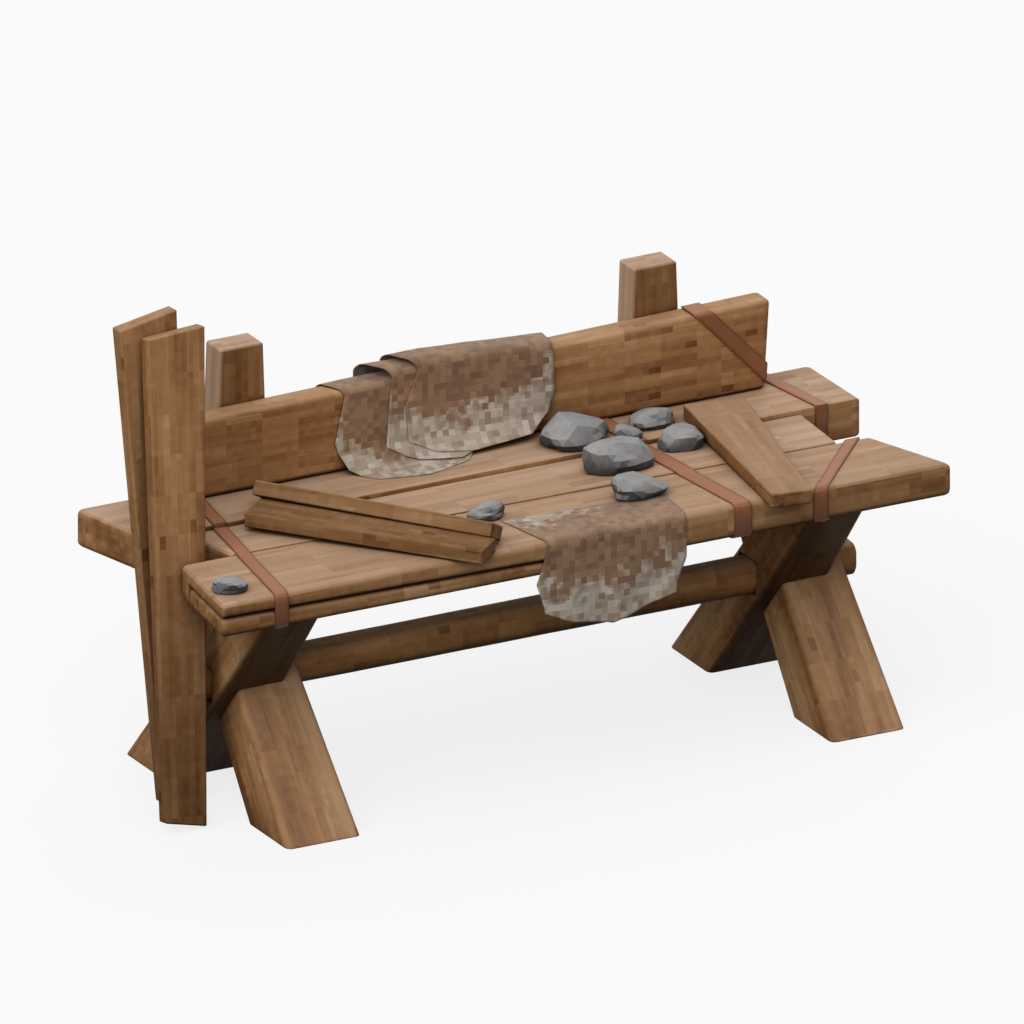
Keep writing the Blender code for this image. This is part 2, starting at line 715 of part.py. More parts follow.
def rear_edge_path():
    """Round the rear plank's rear edges, from its top to its underside."""
    radius = PLANK_ROUND + FIT
    inner = TOP_REAR - PLANK_ROUND
    path = corner_arc(inner, REAR_TOP - PLANK_ROUND, radius, 90, 0)
    path += corner_arc(inner, PLANK_SEAT + PLANK_ROUND, radius, 0, -90)
    return path


def over_the_top(seam):
    """Across the plank joints, with the step up onto the rear plank."""
    step = REAR_SEAM - PLANK_JOINT
    return [
        (seam - PLANK_ROUND, FRONT_TOP + FIT),
        (seam, MIDDLE_TOP + FIT),
        (step - FIT, MIDDLE_TOP + FIT),
        (step - FIT, REAR_TOP + FIT),
    ]


def strap_nail(name, x, y, z):
    """A flat-headed nail driven up through a strap's tucked end."""
    shank = cylinder_mesh(name, STRAP_NAIL_DIAMETER, STRAP_NAIL_LENGTH,
                          Matrix.Translation((0, 0, STRAP_NAIL_LENGTH / 2)))
    part = add_part(name, shank, IRON, IRON_FINISH, IRON_METALLIC, (x, y, z))
    head_place = Matrix.Translation((0, 0, -STRAP_NAIL_HEAD_THICK / 2 + FIT))
    head = cylinder_mesh("head", STRAP_NAIL_HEAD, STRAP_NAIL_HEAD_THICK, head_place)
    boolean(part, add_cutter(f"{name}_head", head, (x, y, z)), "UNION")
    hole = cylinder_mesh("hole", STRAP_NAIL_DIAMETER + 2 * FIT, STRAP_NAIL_LENGTH + 2 * FIT,
                         Matrix.Translation((0, 0, STRAP_NAIL_LENGTH / 2)))
    return add_cutter(f"{name}_hole", hole, (x, y, z))


def nail_strap(band, front_left, slant, width, ends, planks):
    """Nail each tucked end of a strap into the plank above it."""
    for end, y in ends.items():
        x = front_left + slant * (y - TOP_FRONT) + width / 2
        z = PLANK_SEAT - STRAP_THICK - 3 * FIT
        hole = strap_nail(f"{band.name}_{end}_nail", x, y, z)
        boolean(band, hole)
        for plank in planks[end]:
            boolean(plank, hole)


def strap(name, path, closed, spec):
    part = add_part(name, strap_mesh(name, path, closed, *spec), LEATHER, LEATHER_FINISH)
    thicken(part, STRAP_THICK)
    return part


def slot_strap(board, name, path, closed, spec):
    """Cut a shallow slot in the backboard's foot where a strap passes under it."""
    cutter = add_cutter(f"{name}_slot", strap_mesh("slot", path, closed, *spec, grow=FIT))
    thicken(cutter, STRAP_THICK + FIT)
    boolean(board, cutter)


def left_top_strap(front, rear, board, packing_board):
    """Right round the top, both its ends tucked under and nailed."""
    path = bench_front_path(PACKING_ROUND) + over_the_top(seam_at(LEFT_STRAP_FRONT)) + rear_edge_path()
    path.append((TOP_REAR - STRAP_TUCK, PLANK_SEAT - FIT))
    spec = (LEFT_STRAP_FRONT, LEFT_STRAP_SLANT, LEFT_STRAP_WIDTH)
    band = strap("left_top_strap", path, False, spec)
    slot_strap(board, band.name, path, False, spec)
    ends = {"front": TOP_FRONT + STRAP_NAIL_INSET, "rear": TOP_REAR - STRAP_NAIL_INSET}
    nail_strap(band, *spec, ends, {"front": (front, packing_board), "rear": (rear,)})


def right_top_strap(board):
    """A closed band round all three planks."""
    path = bench_front_path(PLANK_ROUND)[1:] + over_the_top(seam_at(RIGHT_STRAP_FRONT)) + rear_edge_path()
    spec = (RIGHT_STRAP_FRONT, RIGHT_STRAP_SLANT, RIGHT_STRAP_WIDTH)
    band = strap("right_top_strap", path, True, spec)
    slot_strap(board, band.name, path, True, spec)


def front_corner_strap(front):
    """Aslant over the front plank's right end, both its ends tucked under and nailed."""
    seam = seam_at(CORNER_STRAP_FRONT + CORNER_STRAP_SLANT * FRONT_PLANK_DEPTH_RIGHT)
    path = bench_front_path(PLANK_ROUND)
    path.append((seam + FIT, FRONT_TOP + FIT))
    path.append((seam + FIT, PLANK_SEAT - FIT))
    path.append((seam - STRAP_TUCK, PLANK_SEAT - FIT))
    spec = (CORNER_STRAP_FRONT, CORNER_STRAP_SLANT, CORNER_STRAP_WIDTH)
    band = strap("front_corner_strap", path, False, spec)
    ends = {"front": TOP_FRONT + STRAP_NAIL_INSET, "rear": seam - STRAP_NAIL_INSET}
    nail_strap(band, *spec, ends, {"front": (front,), "rear": (front,)})


def rear_corner_strap():
    """A closed band round the rear plank alone."""
    path = [(REAR_SEAM - FIT, PLANK_SEAT - FIT), (REAR_SEAM - FIT, REAR_TOP + FIT)] + rear_edge_path()
    front_left = REAR_STRAP_FRONT + REAR_STRAP_SLANT * (TOP_FRONT - REAR_SEAM)
    strap("rear_corner_strap", path, True, (front_left, REAR_STRAP_SLANT, REAR_STRAP_WIDTH))


def binding_strap():
    """A band round the backboard's right end, aslant over its top edge and its end."""
    part = add_part("backboard_strap", backboard_mesh("backboard_strap", STRAP_THICK + FIT), LEATHER,
                    LEATHER_FINISH)
    round_edges(part, BACKBOARD_ROUND, ROUND_STEPS)
    inner = add_cutter("backboard_strap_inside", backboard_mesh("inside", FIT))
    round_edges(inner, BACKBOARD_ROUND, ROUND_STEPS)
    top = Vector((BACKBOARD_RIGHT - BINDING_TOP_INSET, 0, BACKBOARD_TOP))
    end = Vector((BACKBOARD_RIGHT, 0, BACKBOARD_TOP - BINDING_DROP))
    run = end - top
    slab = box_mesh("slab", (2 * run.length, 2 * TOP_DEPTH, BINDING_WIDTH))
    cutter = add_cutter("backboard_strap_line", slab, (top + end) / 2)
    cutter.rotation_euler = (0, -math.atan2(run.z, run.x), 0)
    boolean(part, cutter, "INTERSECT")
    boolean(part, inner)


# Leaning and loose boards
def board_mesh(name, foot_width, head_width, length, thick, foot_cut=0.0, head_cut=0.0, shift=0.0):
    """A tapered board along +Y from its foot, on Z = 0; cuts raise one corner of an end."""

    def build(shape):
        bmesh.ops.create_cube(shape, size=1.0)
        for corner in shape.verts:
            at_head = corner.co.y > 0
            on_left = corner.co.x < 0
            width = head_width if at_head else foot_width
            if at_head:
                y = length + head_cut * (not on_left)
            else:
                y = foot_cut * on_left
            corner.co = (corner.co.x * width + shift * at_head, y, thick * (corner.co.z + 0.5))

    return mesh_from(build, name)


def leaning_boards():
    """Two boards that stand in the slot at the left end, one resting on the other."""
    upright = Matrix.Rotation(math.pi / 2, 4, "X")
    back_at_floor = REAR_SEAM - FIT - math.tan(REAR_LEAN) * REAR_TOP
    mesh = board_mesh("rear_leaning_board", REAR_LEANING_FOOT_WIDTH, REAR_LEANING_HEAD_WIDTH,
                      REAR_LEANING_LENGTH, LEANING_THICK, head_cut=REAR_LEANING_HEAD_CUT,
                      shift=REAR_LEANING_HEAD_SHIFT)
    mesh.transform(Matrix.Rotation(-REAR_LEAN, 4, "X") @ upright)
    lift = -min(corner.co.z for corner in mesh.vertices)
    back = add_part("rear_leaning_board", mesh, WOOD,
                    location=(REAR_LEANING_X, back_at_floor + lift * math.tan(REAR_LEAN), lift))
    round_edges(back, LOOSE_ROUND, 1)

    mesh = board_mesh("front_leaning_board", FRONT_LEANING_FOOT_WIDTH, FRONT_LEANING_HEAD_WIDTH,
                      FRONT_LEANING_LENGTH, LEANING_THICK, FRONT_LEANING_FOOT_CUT, FRONT_LEANING_HEAD_CUT,
                      FRONT_LEANING_HEAD_SHIFT)
    mesh.transform(Matrix.Rotation(-FRONT_LEAN, 4, "X") @ upright)
    lift = -min(corner.co.z for corner in mesh.vertices)
    touch = max(mesh.vertices, key=lambda corner: corner.co.y - math.tan(REAR_LEAN) * corner.co.z).co
    rear_face = back_at_floor - LEANING_THICK / math.cos(REAR_LEAN) + math.tan(REAR_LEAN) * (touch.z + lift)
    front = add_part("front_leaning_board", mesh, WOOD,
                     location=(FRONT_LEANING_X, rear_face - touch.y - 2 * FIT + FRONT_LEANING_SETTLE, lift))
    round_edges(front, LOOSE_ROUND, 1)


def lay_board(part, head_x, head_reach, yaw, length, head_width):
    """Lay a board from the front plank's edge to the rear plank's, its head's middle past the rear seam."""
    low_y = TOP_FRONT + PLANK_ROUND
    slope = (REAR_TOP - FRONT_TOP) / (REAR_SEAM - low_y)
    pitch = math.atan(slope * math.cos(yaw))
    run = length * math.cos(pitch)
    foot_y = REAR_SEAM + head_reach - run * math.cos(yaw)
    clear = FIT + slope * abs(math.sin(yaw)) * head_width / 2
    part.location = (head_x + run * math.sin(yaw), foot_y, FRONT_TOP + slope * (foot_y - low_y) + clear)
    part.rotation_euler = (pitch, 0, yaw)
    round_edges(part, LOOSE_ROUND, 1)


def loose_boards():
    mesh = board_mesh("right_loose_board", RIGHT_LOOSE_FOOT_WIDTH, RIGHT_LOOSE_HEAD_WIDTH,
                      RIGHT_LOOSE_LENGTH, LOOSE_THICK)
    lay_board(add_part("right_loose_board", mesh, WOOD), RIGHT_LOOSE_HEAD_X, RIGHT_LOOSE_HEAD_REACH,
              RIGHT_LOOSE_YAW, RIGHT_LOOSE_LENGTH, RIGHT_LOOSE_HEAD_WIDTH)
    mesh = board_mesh("lower_loose_board", LOWER_LOOSE_FOOT_WIDTH, LOWER_LOOSE_HEAD_WIDTH,
                      LOWER_LOOSE_LENGTH, LOOSE_THICK)
    lower = add_part("lower_loose_board", mesh, WOOD)
    lay_board(lower, LOWER_LOOSE_HEAD_X, LOWER_LOOSE_HEAD_REACH, LOWER_LOOSE_YAW, LOWER_LOOSE_LENGTH,
              LOWER_LOOSE_HEAD_WIDTH)

    mesh = board_mesh("upper_loose_board", UPPER_LOOSE_FOOT_WIDTH, UPPER_LOOSE_HEAD_WIDTH,
                      UPPER_LOOSE_LENGTH, LOOSE_THICK,
                      shift=(UPPER_LOOSE_FOOT_WIDTH - UPPER_LOOSE_HEAD_WIDTH) / 2)
    foot_y = LOWER_LOOSE_LENGTH + UPPER_LOOSE_HEAD_PROUD - UPPER_LOOSE_LENGTH
    mesh.transform(Matrix.Translation((UPPER_LOOSE_FOOT_WIDTH / 2 - UPPER_LOOSE_LAP, foot_y, 0)))
    reach = UPPER_LOOSE_FOOT_WIDTH - UPPER_LOOSE_LAP
    tilt = math.asin((LOOSE_THICK - UPPER_LOOSE_CLEAR) / reach)
    mesh.transform(Matrix.Rotation(tilt, 4, "Y"))
    splay = math.atan((LOWER_LOOSE_HEAD_WIDTH - LOWER_LOOSE_FOOT_WIDTH) / 2 / LOWER_LOOSE_LENGTH)
    mesh.transform(Matrix.Rotation(-splay, 4, "Z"))
    upper = add_part("upper_loose_board", mesh, WOOD)
    lower_frame = Matrix.LocRotScale(lower.location, lower.rotation_euler, None)
    seat = LOOSE_THICK + FIT - LOOSE_ROUND * math.tan(tilt)
    upper.location = lower_frame @ Vector((LOWER_LOOSE_FOOT_WIDTH / 2, 0, seat))
    upper.rotation_euler = lower.rotation_euler
    round_edges(upper, LOOSE_ROUND, 1)


# Stones
def stone_mesh(name, width, depth, height, seed):
    """A rough faceted stone, pushed in and out by waves that its seed sets, cut flat below."""

    def build(shape):
        bmesh.ops.create_icosphere(shape, subdivisions=STONE_DETAIL, radius=1.0)
        for corner in shape.verts:
            way = corner.co.normalized()
            swell = sum(depth * math.sin(wave.dot(way) + share * seed) for depth, wave, share in STONE_WAVES)
            corner.co = way * (1 + swell)
        low, high = bounds(shape)
        for corner in shape.verts:
            share = [(corner.co[axis] - low[axis]) / (high[axis] - low[axis]) for axis in range(3)]
            above = max(0.0, (share[2] - STONE_CUT) / (1 - STONE_CUT))
            corner.co = ((share[0] - 0.5) * width, (share[1] - 0.5) * depth, above * height)

    return mesh_from(build, name)


def bounds(shape):
    low = [min(corner.co[axis] for corner in shape.verts) for axis in range(3)]
    high = [max(corner.co[axis] for corner in shape.verts) for axis in range(3)]
    return low, high


def stones():
    seats = {
        "front": FRONT_TOP,
        "middle": MIDDLE_TOP,
        "rear": REAR_TOP,
        "strap": REAR_TOP + STRAP_THICK + FIT,
        "hide": FRONT_TOP + FRONT_HIDE_STAND_OFF + HIDE_THICK,
    }
    for name, x, y, width, depth, height, seat, seed in STONES:
        add_part(name, stone_mesh(name, width, depth, height, seed), STONE, STONE_FINISH,
                 location=(x, y, seats[seat] + FIT))


# Hides
def look_up(table, value):
    """The rest of a table's row at a value of its first column, between rows in proportion."""
    for before, after in zip(table, table[1:]):
        if value <= after[0] or after is table[-1]:
            share = min(1.0, max(0.0, (value - before[0]) / (after[0] - before[0])))
            return [mix(start, end, share) for start, end in zip(before[1:], after[1:])]


def path_point(path, distance):
    """The point and outward normal a distance along a (y, z) path, carried straight past its ends."""
    for start, end in zip(path, path[1:]):
        run = Vector((end[0] - start[0], end[1] - start[1]))
        if distance <= run.length or end is path[-1]:
            way = run.normalized()
            return Vector(start) + way * distance, Vector((way.y, -way.x))
        distance -= run.length


def path_length(path):
    return sum(math.dist(start, end) for start, end in zip(path, path[1:]))


def hide_distance(row, start, bend_length, end):
    """The distance past the bend at a row: rows up to the bend, over it and down from it."""
    if row <= HIDE_ROWS_BACK:
        return mix(start, -bend_length, row / HIDE_ROWS_BACK)
    if row <= HIDE_ROWS_BACK + HIDE_ROWS_BEND:
        return mix(-bend_length, 0.0, (row - HIDE_ROWS_BACK) / HIDE_ROWS_BEND)
    return mix(0.0, end, (row - HIDE_ROWS_BACK - HIDE_ROWS_BEND) / HIDE_ROWS_FRONT)


def hide_mesh(name, side, path_for, start_for, fold_height):
    """A hide laid over a bend; path_for gives its (y, z) path, with the bend's first and last points."""
    shape = bmesh.new()
    rows = HIDE_ROWS_BACK + HIDE_ROWS_BEND + HIDE_ROWS_FRONT
    longest = max(drop for share, drop in HIDE_DROPS[side])
    bmesh.ops.create_grid(shape, x_segments=HIDE_COLUMNS, y_segments=rows, size=1.0)
    for corner in shape.verts:
        across = (corner.co.x + 1) / 2
        row = round((corner.co.y + 1) / 2 * rows)
        path, first, last = path_for(mix(*look_up(HIDE_EDGES[side], 0.0), across))
        bend_at = path_length(path[:last + 1])
        bend_length = path_length(path[first:last + 1])
        end = look_up(HIDE_DROPS[side], across)[0]
        distance = hide_distance(row, start_for(across, bend_length), bend_length, end)
        fold = max(0.0, distance / longest) * fold_height
        fold *= (1 - math.cos(2 * math.pi * FRONT_HIDE_FOLDS * across)) / 2
        place, normal = path_point(path, bend_at + distance)
        place = place + normal * fold
        corner.co = (mix(*look_up(HIDE_EDGES[side], distance), across), place.x, place.y)
    bmesh.ops.reverse_faces(shape, faces=shape.faces)
    mesh = bpy.data.meshes.new(name)
    shape.to_mesh(mesh)
    shape.free()
    return mesh


def back_hide(side, layer):
    """A hide over the backboard and over the hides beneath it, its front end on the rear plank."""
    lift = layer * HIDE_THICK + BACK_HIDE_LAYER_GAPS[side]
    gap = BACK_HIDE_FIRST_GAP + lift
    radius = BACKBOARD_ROUND + gap
    rear = BACKBOARD_REAR + gap
    front = BACKBOARD_FRONT - gap
    floor = REAR_TOP + 2 * FIT + lift

    def path_for(x):
        crest = backboard_top(x) + look_up(BACK_HIDE_RISES[side], x)[0]
        path = [(rear, BACKBOARD_FOOT)]
        path += corner_arc(rear - radius, crest - radius, radius, 0, 90, HIDE_BEND_STEPS)
        path += corner_arc(front + radius, crest - radius, radius, 90, 180, HIDE_BEND_STEPS)
        last = len(path) - 1
        path.append((front, floor + BACK_HIDE_FLARE_RISE))
        path.append((front - BACK_HIDE_BEND_REACH, floor + BACK_HIDE_BEND_RISE))
        path.append((front - BACK_HIDE_TOE_REACH, floor))
        path.append((front - BACK_HIDE_RUN_OUT, floor))
        return path, 1, last

    mesh = hide_mesh(f"{side}_back_hide", side, path_for, lambda across, bend: -bend - HIDE_FLAP, 0.0)
    part = add_part(f"{side}_back_hide", mesh, HIDE, HIDE_FINISH)
    thicken(part, HIDE_THICK)


def front_hide():
    """A hide that lies flat on the front plank and hangs over its front edge."""
    radius = PLANK_ROUND + FRONT_HIDE_STAND_OFF
    bend_y = TOP_FRONT + PLANK_ROUND
    path = [(bend_y + FRONT_HIDE_REAR_LEFT, FRONT_TOP + FRONT_HIDE_STAND_OFF)]
    path += corner_arc(bend_y, FRONT_TOP - PLANK_ROUND, radius, 90, 180, HIDE_BEND_STEPS)
    last = len(path) - 1
    path.append((TOP_FRONT - FRONT_HIDE_STAND_OFF, 0.0))
    mesh = hide_mesh(
        "front_hide", "front", lambda x: (path, 1, last),
        lambda across, bend: -bend - mix(FRONT_HIDE_REAR_LEFT, FRONT_HIDE_REAR_RIGHT, across),
        FRONT_HIDE_FOLD,
    )
    part = add_part("front_hide", mesh, HIDE, HIDE_FINISH)
    thicken(part, HIDE_THICK)


def stand_on_origin():
    """Put the origin at the middle of the whole part's footprint, on the floor."""
    bpy.context.view_layer.update()
    low = [math.inf, math.inf]
    high = [-math.inf, -math.inf]
    for part in ASSEMBLY.children:
        if part.name in CUTTERS.objects:
            continue
        for corner in part.bound_box:
            place = part.matrix_world @ Vector(corner)
            for axis in range(2):
                low[axis] = min(low[axis], place[axis])
                high[axis] = max(high[axis], place[axis])
    ASSEMBLY.location = (-(low[0] + high[0]) / 2, -(low[1] + high[1]) / 2, 0)


def main():
    bearers = trestles()
    planks = {"front": front_plank(), "middle": middle_plank(), "rear": rear_plank()}
    packing_board = packing(planks["front"])
    bearer_pegs(bearers, planks, packing_board)
    board = backboard()
    posts(planks["rear"], board)
    left_top_strap(planks["front"], planks["rear"], board, packing_board)
    right_top_strap(board)
    front_corner_strap(planks["front"])
    rear_corner_strap()
    binding_strap()
    leaning_boards()
    loose_boards()
    stones()
    for layer, side in enumerate(BACK_HIDE_RISES):
        back_hide(side, layer)
    front_hide()
    stand_on_origin()


main()
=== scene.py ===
"""The workbench as in its photograph: worn wood, leather straps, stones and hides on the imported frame."""

import math
import random

import bmesh
import bpy
from mathutils import Matrix, Vector, noise


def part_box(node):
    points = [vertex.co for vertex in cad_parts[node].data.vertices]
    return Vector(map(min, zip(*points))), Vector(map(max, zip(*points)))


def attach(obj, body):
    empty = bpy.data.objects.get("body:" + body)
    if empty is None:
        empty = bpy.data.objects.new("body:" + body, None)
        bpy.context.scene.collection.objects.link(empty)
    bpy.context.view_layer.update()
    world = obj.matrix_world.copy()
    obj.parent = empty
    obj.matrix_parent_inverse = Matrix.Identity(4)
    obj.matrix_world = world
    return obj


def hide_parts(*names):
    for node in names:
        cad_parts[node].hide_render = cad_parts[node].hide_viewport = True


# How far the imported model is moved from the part's own coordinates
FRAME_SHIFT = Vector((0.015486, 0.001440, 0.0))

# Camera
VIEW_AZIMUTH = math.radians(28.08)
VIEW_ELEVATION = math.radians(21.59)
VIEW_TARGET = Vector((0.0056, 0.0014, 0.6417))
VIEW_WIDTH = 2.6624
VIEW_DISTANCE = 9.0
VIEW_FAR = 100.0

# Light
WHITE = (1.0, 1.0, 1.0, 1.0)
KEY_FROM = Vector((-0.58, -0.42, 0.70))
KEY_LEVEL = 0.62
KEY_SPREAD = math.radians(75)
FILL_FROM = Vector((0.60, 0.62, 0.55))
FILL_LEVEL = 0.20
FILL_SPREAD = math.radians(70)
SKY_LOW = 0.08
SKY_HIGH = 0.46
FLOOR_WIDTH = 60.0
FLOOR_TONE = (0.10, 0.10, 0.10, 1.0)
FLOOR_SEEN_TONE = (0.92, 0.92, 0.92, 1.0)
FLOOR_GLOW_SHARE = 0.80

# What the materials share: the side of a block of colour, the values that most of a noise lies between, and
# how far a face is turned up where its painted sheen starts and where it is full
TEXEL = 0.0178
BLOCK = (TEXEL, TEXEL, TEXEL)
NOISE_RANGE = (0.30, 0.70)
OPEN_FACE = (0.35, 0.98)
EDGE_SAMPLES = 6
SHELTER_SAMPLES = 8
# How open a corner is where its painted shade is deepest and where it ends, on leather and hide, and the
# depth
FINE_SHELTER = (0.10, 0.60)
FINE_SHELTER_DEPTH = 0.5

# Wood, from its darkest streaks to its palest
WOOD_RAMP = (
    (0.00, (0.170, 0.076, 0.030)),
    (0.30, (0.285, 0.134, 0.053)),
    (0.55, (0.376, 0.188, 0.077)),
    (0.80, (0.450, 0.240, 0.106)),
    (1.00, (0.540, 0.315, 0.160)),
)
# Paler wood laid on faces turned up as painted sheen and light
WOOD_SHEEN_RAMP = (
    (0.22, (0.440, 0.280, 0.180)),
    (0.50, (0.565, 0.385, 0.262)),
    (0.78, (0.680, 0.490, 0.360)),
)
WOOD_WORN = (0.560, 0.350, 0.190, 1.0)
WOOD_END = (0.880, 0.850, 0.820, 1.0)
WOOD_KNOT = (0.560, 0.480, 0.430, 1.0)
# Painted shade in closed-in corners, on wood and leather
CORNER_SHADE = (0.300, 0.240, 0.200, 1.0)
# Painted shade on wood faces turned down
WOOD_UNDER_SHADE = (0.075, 0.063, 0.048, 1.0)
WOOD_GLOSS = 0.05
WOOD_SOFTNESS = 0.007
WOOD_STREAKS = 0.40
LEG_STREAKS = 1.00
# The wood's least tone, and what each layer adds to it
WOOD_LEAST = 0.05
WOOD_BLOCK_SHARE = 0.17
WOOD_RUN_SHARE = 0.30
WOOD_STRIPE_SHARE = 0.22
WOOD_STREAK_SHARE = 0.38
SHEEN_RUN_SHARE = 0.30
SHEEN_STREAK_SHARE = 0.70
# Each layer's blocks, along the grain and across it
RUN_BLOCK = (6 * TEXEL, TEXEL, TEXEL)
STRIPE_BLOCK = (16 * TEXEL, 2 * TEXEL, 2 * TEXEL)
SHEEN_BLOCK = (9 * TEXEL, TEXEL, 6 * TEXEL)
KNOT_BLOCK = (2 * TEXEL, TEXEL, TEXEL)
# Each layer's waves per metre, along the grain and across it
STREAK_SCALE = (1.4, 30, 30)
BROAD_SCALE = (1.6, 8, 8)
SHEEN_SCALE = (0.9, 17, 17)
FIBRE_SCALE = (9, 200, 200)
FIBRE_TONES = (0.92, 1.08)
FIBRE_RELIEF = 0.5
KNOT_RARITY = (0.989, 0.991)
GRAIN_PLACES = (0.7, 9.3)
RING_WAVES = {"Scale": 55.0, "Distortion": 5.0, "Detail": 2.0, "Detail Scale": 12.0}
RING_TONES = (1.0, 0.55)
END_FACE = (0.80, 0.92)
UNDER_FACE = (-0.12, -0.70)
WEAR_EDGE = (0.995, 0.80)
WEAR_PATCH_SCALE = 22.0
WEAR_PATCHES = (0.40, 0.62)
WEAR_DEPTH = 0.40
WOOD_SHELTER = (0.12, 0.66)
WOOD_SHELTER_REACH = 0.20
WOOD_TONE_RANGE = (0.1, 0.9)
WOOD_ROUGHNESS = (0.76, 0.62)
# Strength and depth of the relief, here and below
WOOD_RELIEF = (0.35, 0.0022)

# Leather, stone, hide and iron
LEATHER_RAMP = (
    (0.00, (0.150, 0.052, 0.024)),
    (0.50, (0.265, 0.095, 0.039)),
    (1.00, (0.350, 0.142, 0.064)),
)
# Paler tone that the straps' faces turned up take as painted sheen, and below how much
LEATHER_SHEEN_TONE = (0.540, 0.245, 0.140, 1.0)
LEATHER_SOFTNESS = 0.013
# Heights between which the straps turn from darker towards the bottom to their own tone
LEATHER_DARKER_BELOW = (0.62, 0.69)
LEATHER_SHEEN_SHARE = 0.42
LEATHER_PATCH_SCALE = 9.0
LEATHER_PATCH_SHARE = 0.86
LEATHER_BLOCK = (1.5 * TEXEL, 1.5 * TEXEL, 1.5 * TEXEL)
LEATHER_BLOCK_SHARE = 0.16
LEATHER_CREASE_SCALE = (60, 14, 60)
LEATHER_SHELTER_REACH = 0.05
LEATHER_ROUGHNESS = (0.50, 0.66)
LEATHER_RELIEF = (0.30, 0.0012)
LEATHER_GLOSS = 0.35
PORE_TONE = (0.120, 0.040, 0.024, 1.0)
PORE_SCALE = 420.0
PORE_WIDTH = 0.5
PORE_DEPTH = 0.30
PORE_RELIEF = 0.35
STONE_RAMP = (
    (0.00, (0.170, 0.170, 0.172)),
    (0.50, (0.325, 0.322, 0.318)),
    (1.00, (0.450, 0.445, 0.440)),
)
# Painted shade on stone faces turned down and to the side
STONE_UNDER_SHADE = (0.230, 0.230, 0.235, 1.0)
# Painted shade in closed-in corners of the stones
STONE_CORNER_SHADE = (0.260, 0.260, 0.270, 1.0)
STONE_CLOUD_SCALE = 24.0
STONE_CLOUD_SHARE = 0.62
STONE_CLOUD_RELIEF = 1.4
STONE_GRIT_SCALE = 420.0
STONE_GRIT_SHARE = 0.24
STONE_BLOCK_SHARE = 0.20
STONE_LOW_FACE = (0.74, -0.10)
STONE_SHELTER = (0.30, 0.95)
STONE_SHELTER_REACH = 0.10
STONE_ROUGHNESS = (0.66, 0.86)
STONE_RELIEF = (0.45, 0.0016)
HIDE_BROWN = (
    (0.00, (0.160, 0.086, 0.050)),
    (0.18, (0.225, 0.122, 0.070)),
    (0.42, (0.290, 0.169, 0.093)),
    (0.66, (0.355, 0.218, 0.120)),
    (0.84, (0.415, 0.210, 0.120)),
    (1.00, (0.470, 0.315, 0.195)),
)
# Paler tone that a hide's faces turned up take as painted sheen
HIDE_SHEEN_TONE = (0.500, 0.350, 0.250, 1.0)
# Darker tone of the hair's strands, and painted shade in closed-in corners
HIDE_HAIR_AND_CORNER_SHADE = (0.400, 0.350, 0.310, 1.0)
HIDE_PALE = (
    (0.12, (0.290, 0.205, 0.140)),
    (0.38, (0.440, 0.350, 0.265)),
    (0.66, (0.560, 0.485, 0.400)),
    (0.92, (0.720, 0.665, 0.595)),
)
HIDE_FLESH = (
    (0.00, (0.060, 0.048, 0.040)),
    (0.50, (0.120, 0.098, 0.082)),
    (1.00, (0.240, 0.205, 0.175)),
)
FLESH_SEED = 77
FLESH_PATCH_SCALE = 30.0
FLESH_SHARE = 0.5
FLESH_ROUGHNESS = (0.70, 0.92)
FLESH_RELIEF = (0.4, 0.0015)
HIDE_LEAST = -0.22
HIDE_PATCH_SCALE = 7.0
HIDE_PATCH_SHARE = 0.90
HIDE_BLOCK_SHARE = 0.60
HIDE_BLOCK_RELIEF = 0.5
HIDE_PALE_SEED = 40
HIDE_PALE_PATCH_SHARE = 0.40
HIDE_PALE_BLOCK_SHARE = 0.62
# Distances past the bend between which a hide turns from painted shade to its own tone, and how much darker
HIDE_CREST = (0.010, 0.110)
HIDE_CREST_SHADE = 0.11
# How ragged the edge of a hide's pale end is, by blocks and by patches, the shift that evens it out, and
# half the width over which it fades
PALE_BLOCK_JAG = 0.070
PALE_PATCH_JAG = 0.16
PALE_SHIFT = -0.115
PALE_FADE = 0.020
HIDE_SHEEN_SHARE = 0.16
HAIR_SCALE = (900, 170, 1)
HAIR_RANGE = (0.35, 0.75)
HAIR_SHADE = 0.22
HIDE_SHELTER_REACH = 0.03
HIDE_ROUGHNESS = (0.80, 0.95)
HIDE_SHEEN = 0.12
HIDE_SHEEN_ROUGHNESS = 0.5
HIDE_RELIEF = (0.40, 0.0020)
IRON_RAMP = (
    (0.00, (0.030, 0.028, 0.027)),
    (0.60, (0.075, 0.068, 0.064)),
    (1.00, (0.180, 0.085, 0.045)),
)
IRON_RUST_SCALE = 160.0
IRON_ROUGHNESS = (0.42, 0.80)
IRON_RELIEF = (0.4, 0.0008)
IRON_METALLIC = 0.8

# The three ways, and the runs of the grain that aren't one of them
UP = Vector((0.0, 0.0, 1.0))
ALONG = Vector((1.0, 0.0, 0.0))
ACROSS = Vector((0.0, 1.0, 0.0))
LEG_RUN = Vector((0.0, 0.5255, 0.612))
REAR_LEG_RUN = Vector((0.0, -0.5255, 0.612))
RIGHT_LOOSE_RUN = Matrix.Rotation(math.radians(-9.3), 3, "Z") @ ACROSS
LEFT_LOOSE_RUN = Matrix.Rotation(math.radians(40.4), 3, "Z") @ ACROSS
REAR_LEANING_RUN = Vector((-0.046, 0.0756, 1.311))
FRONT_LEANING_RUN = Vector((0.0935, 0.2338, 1.284))
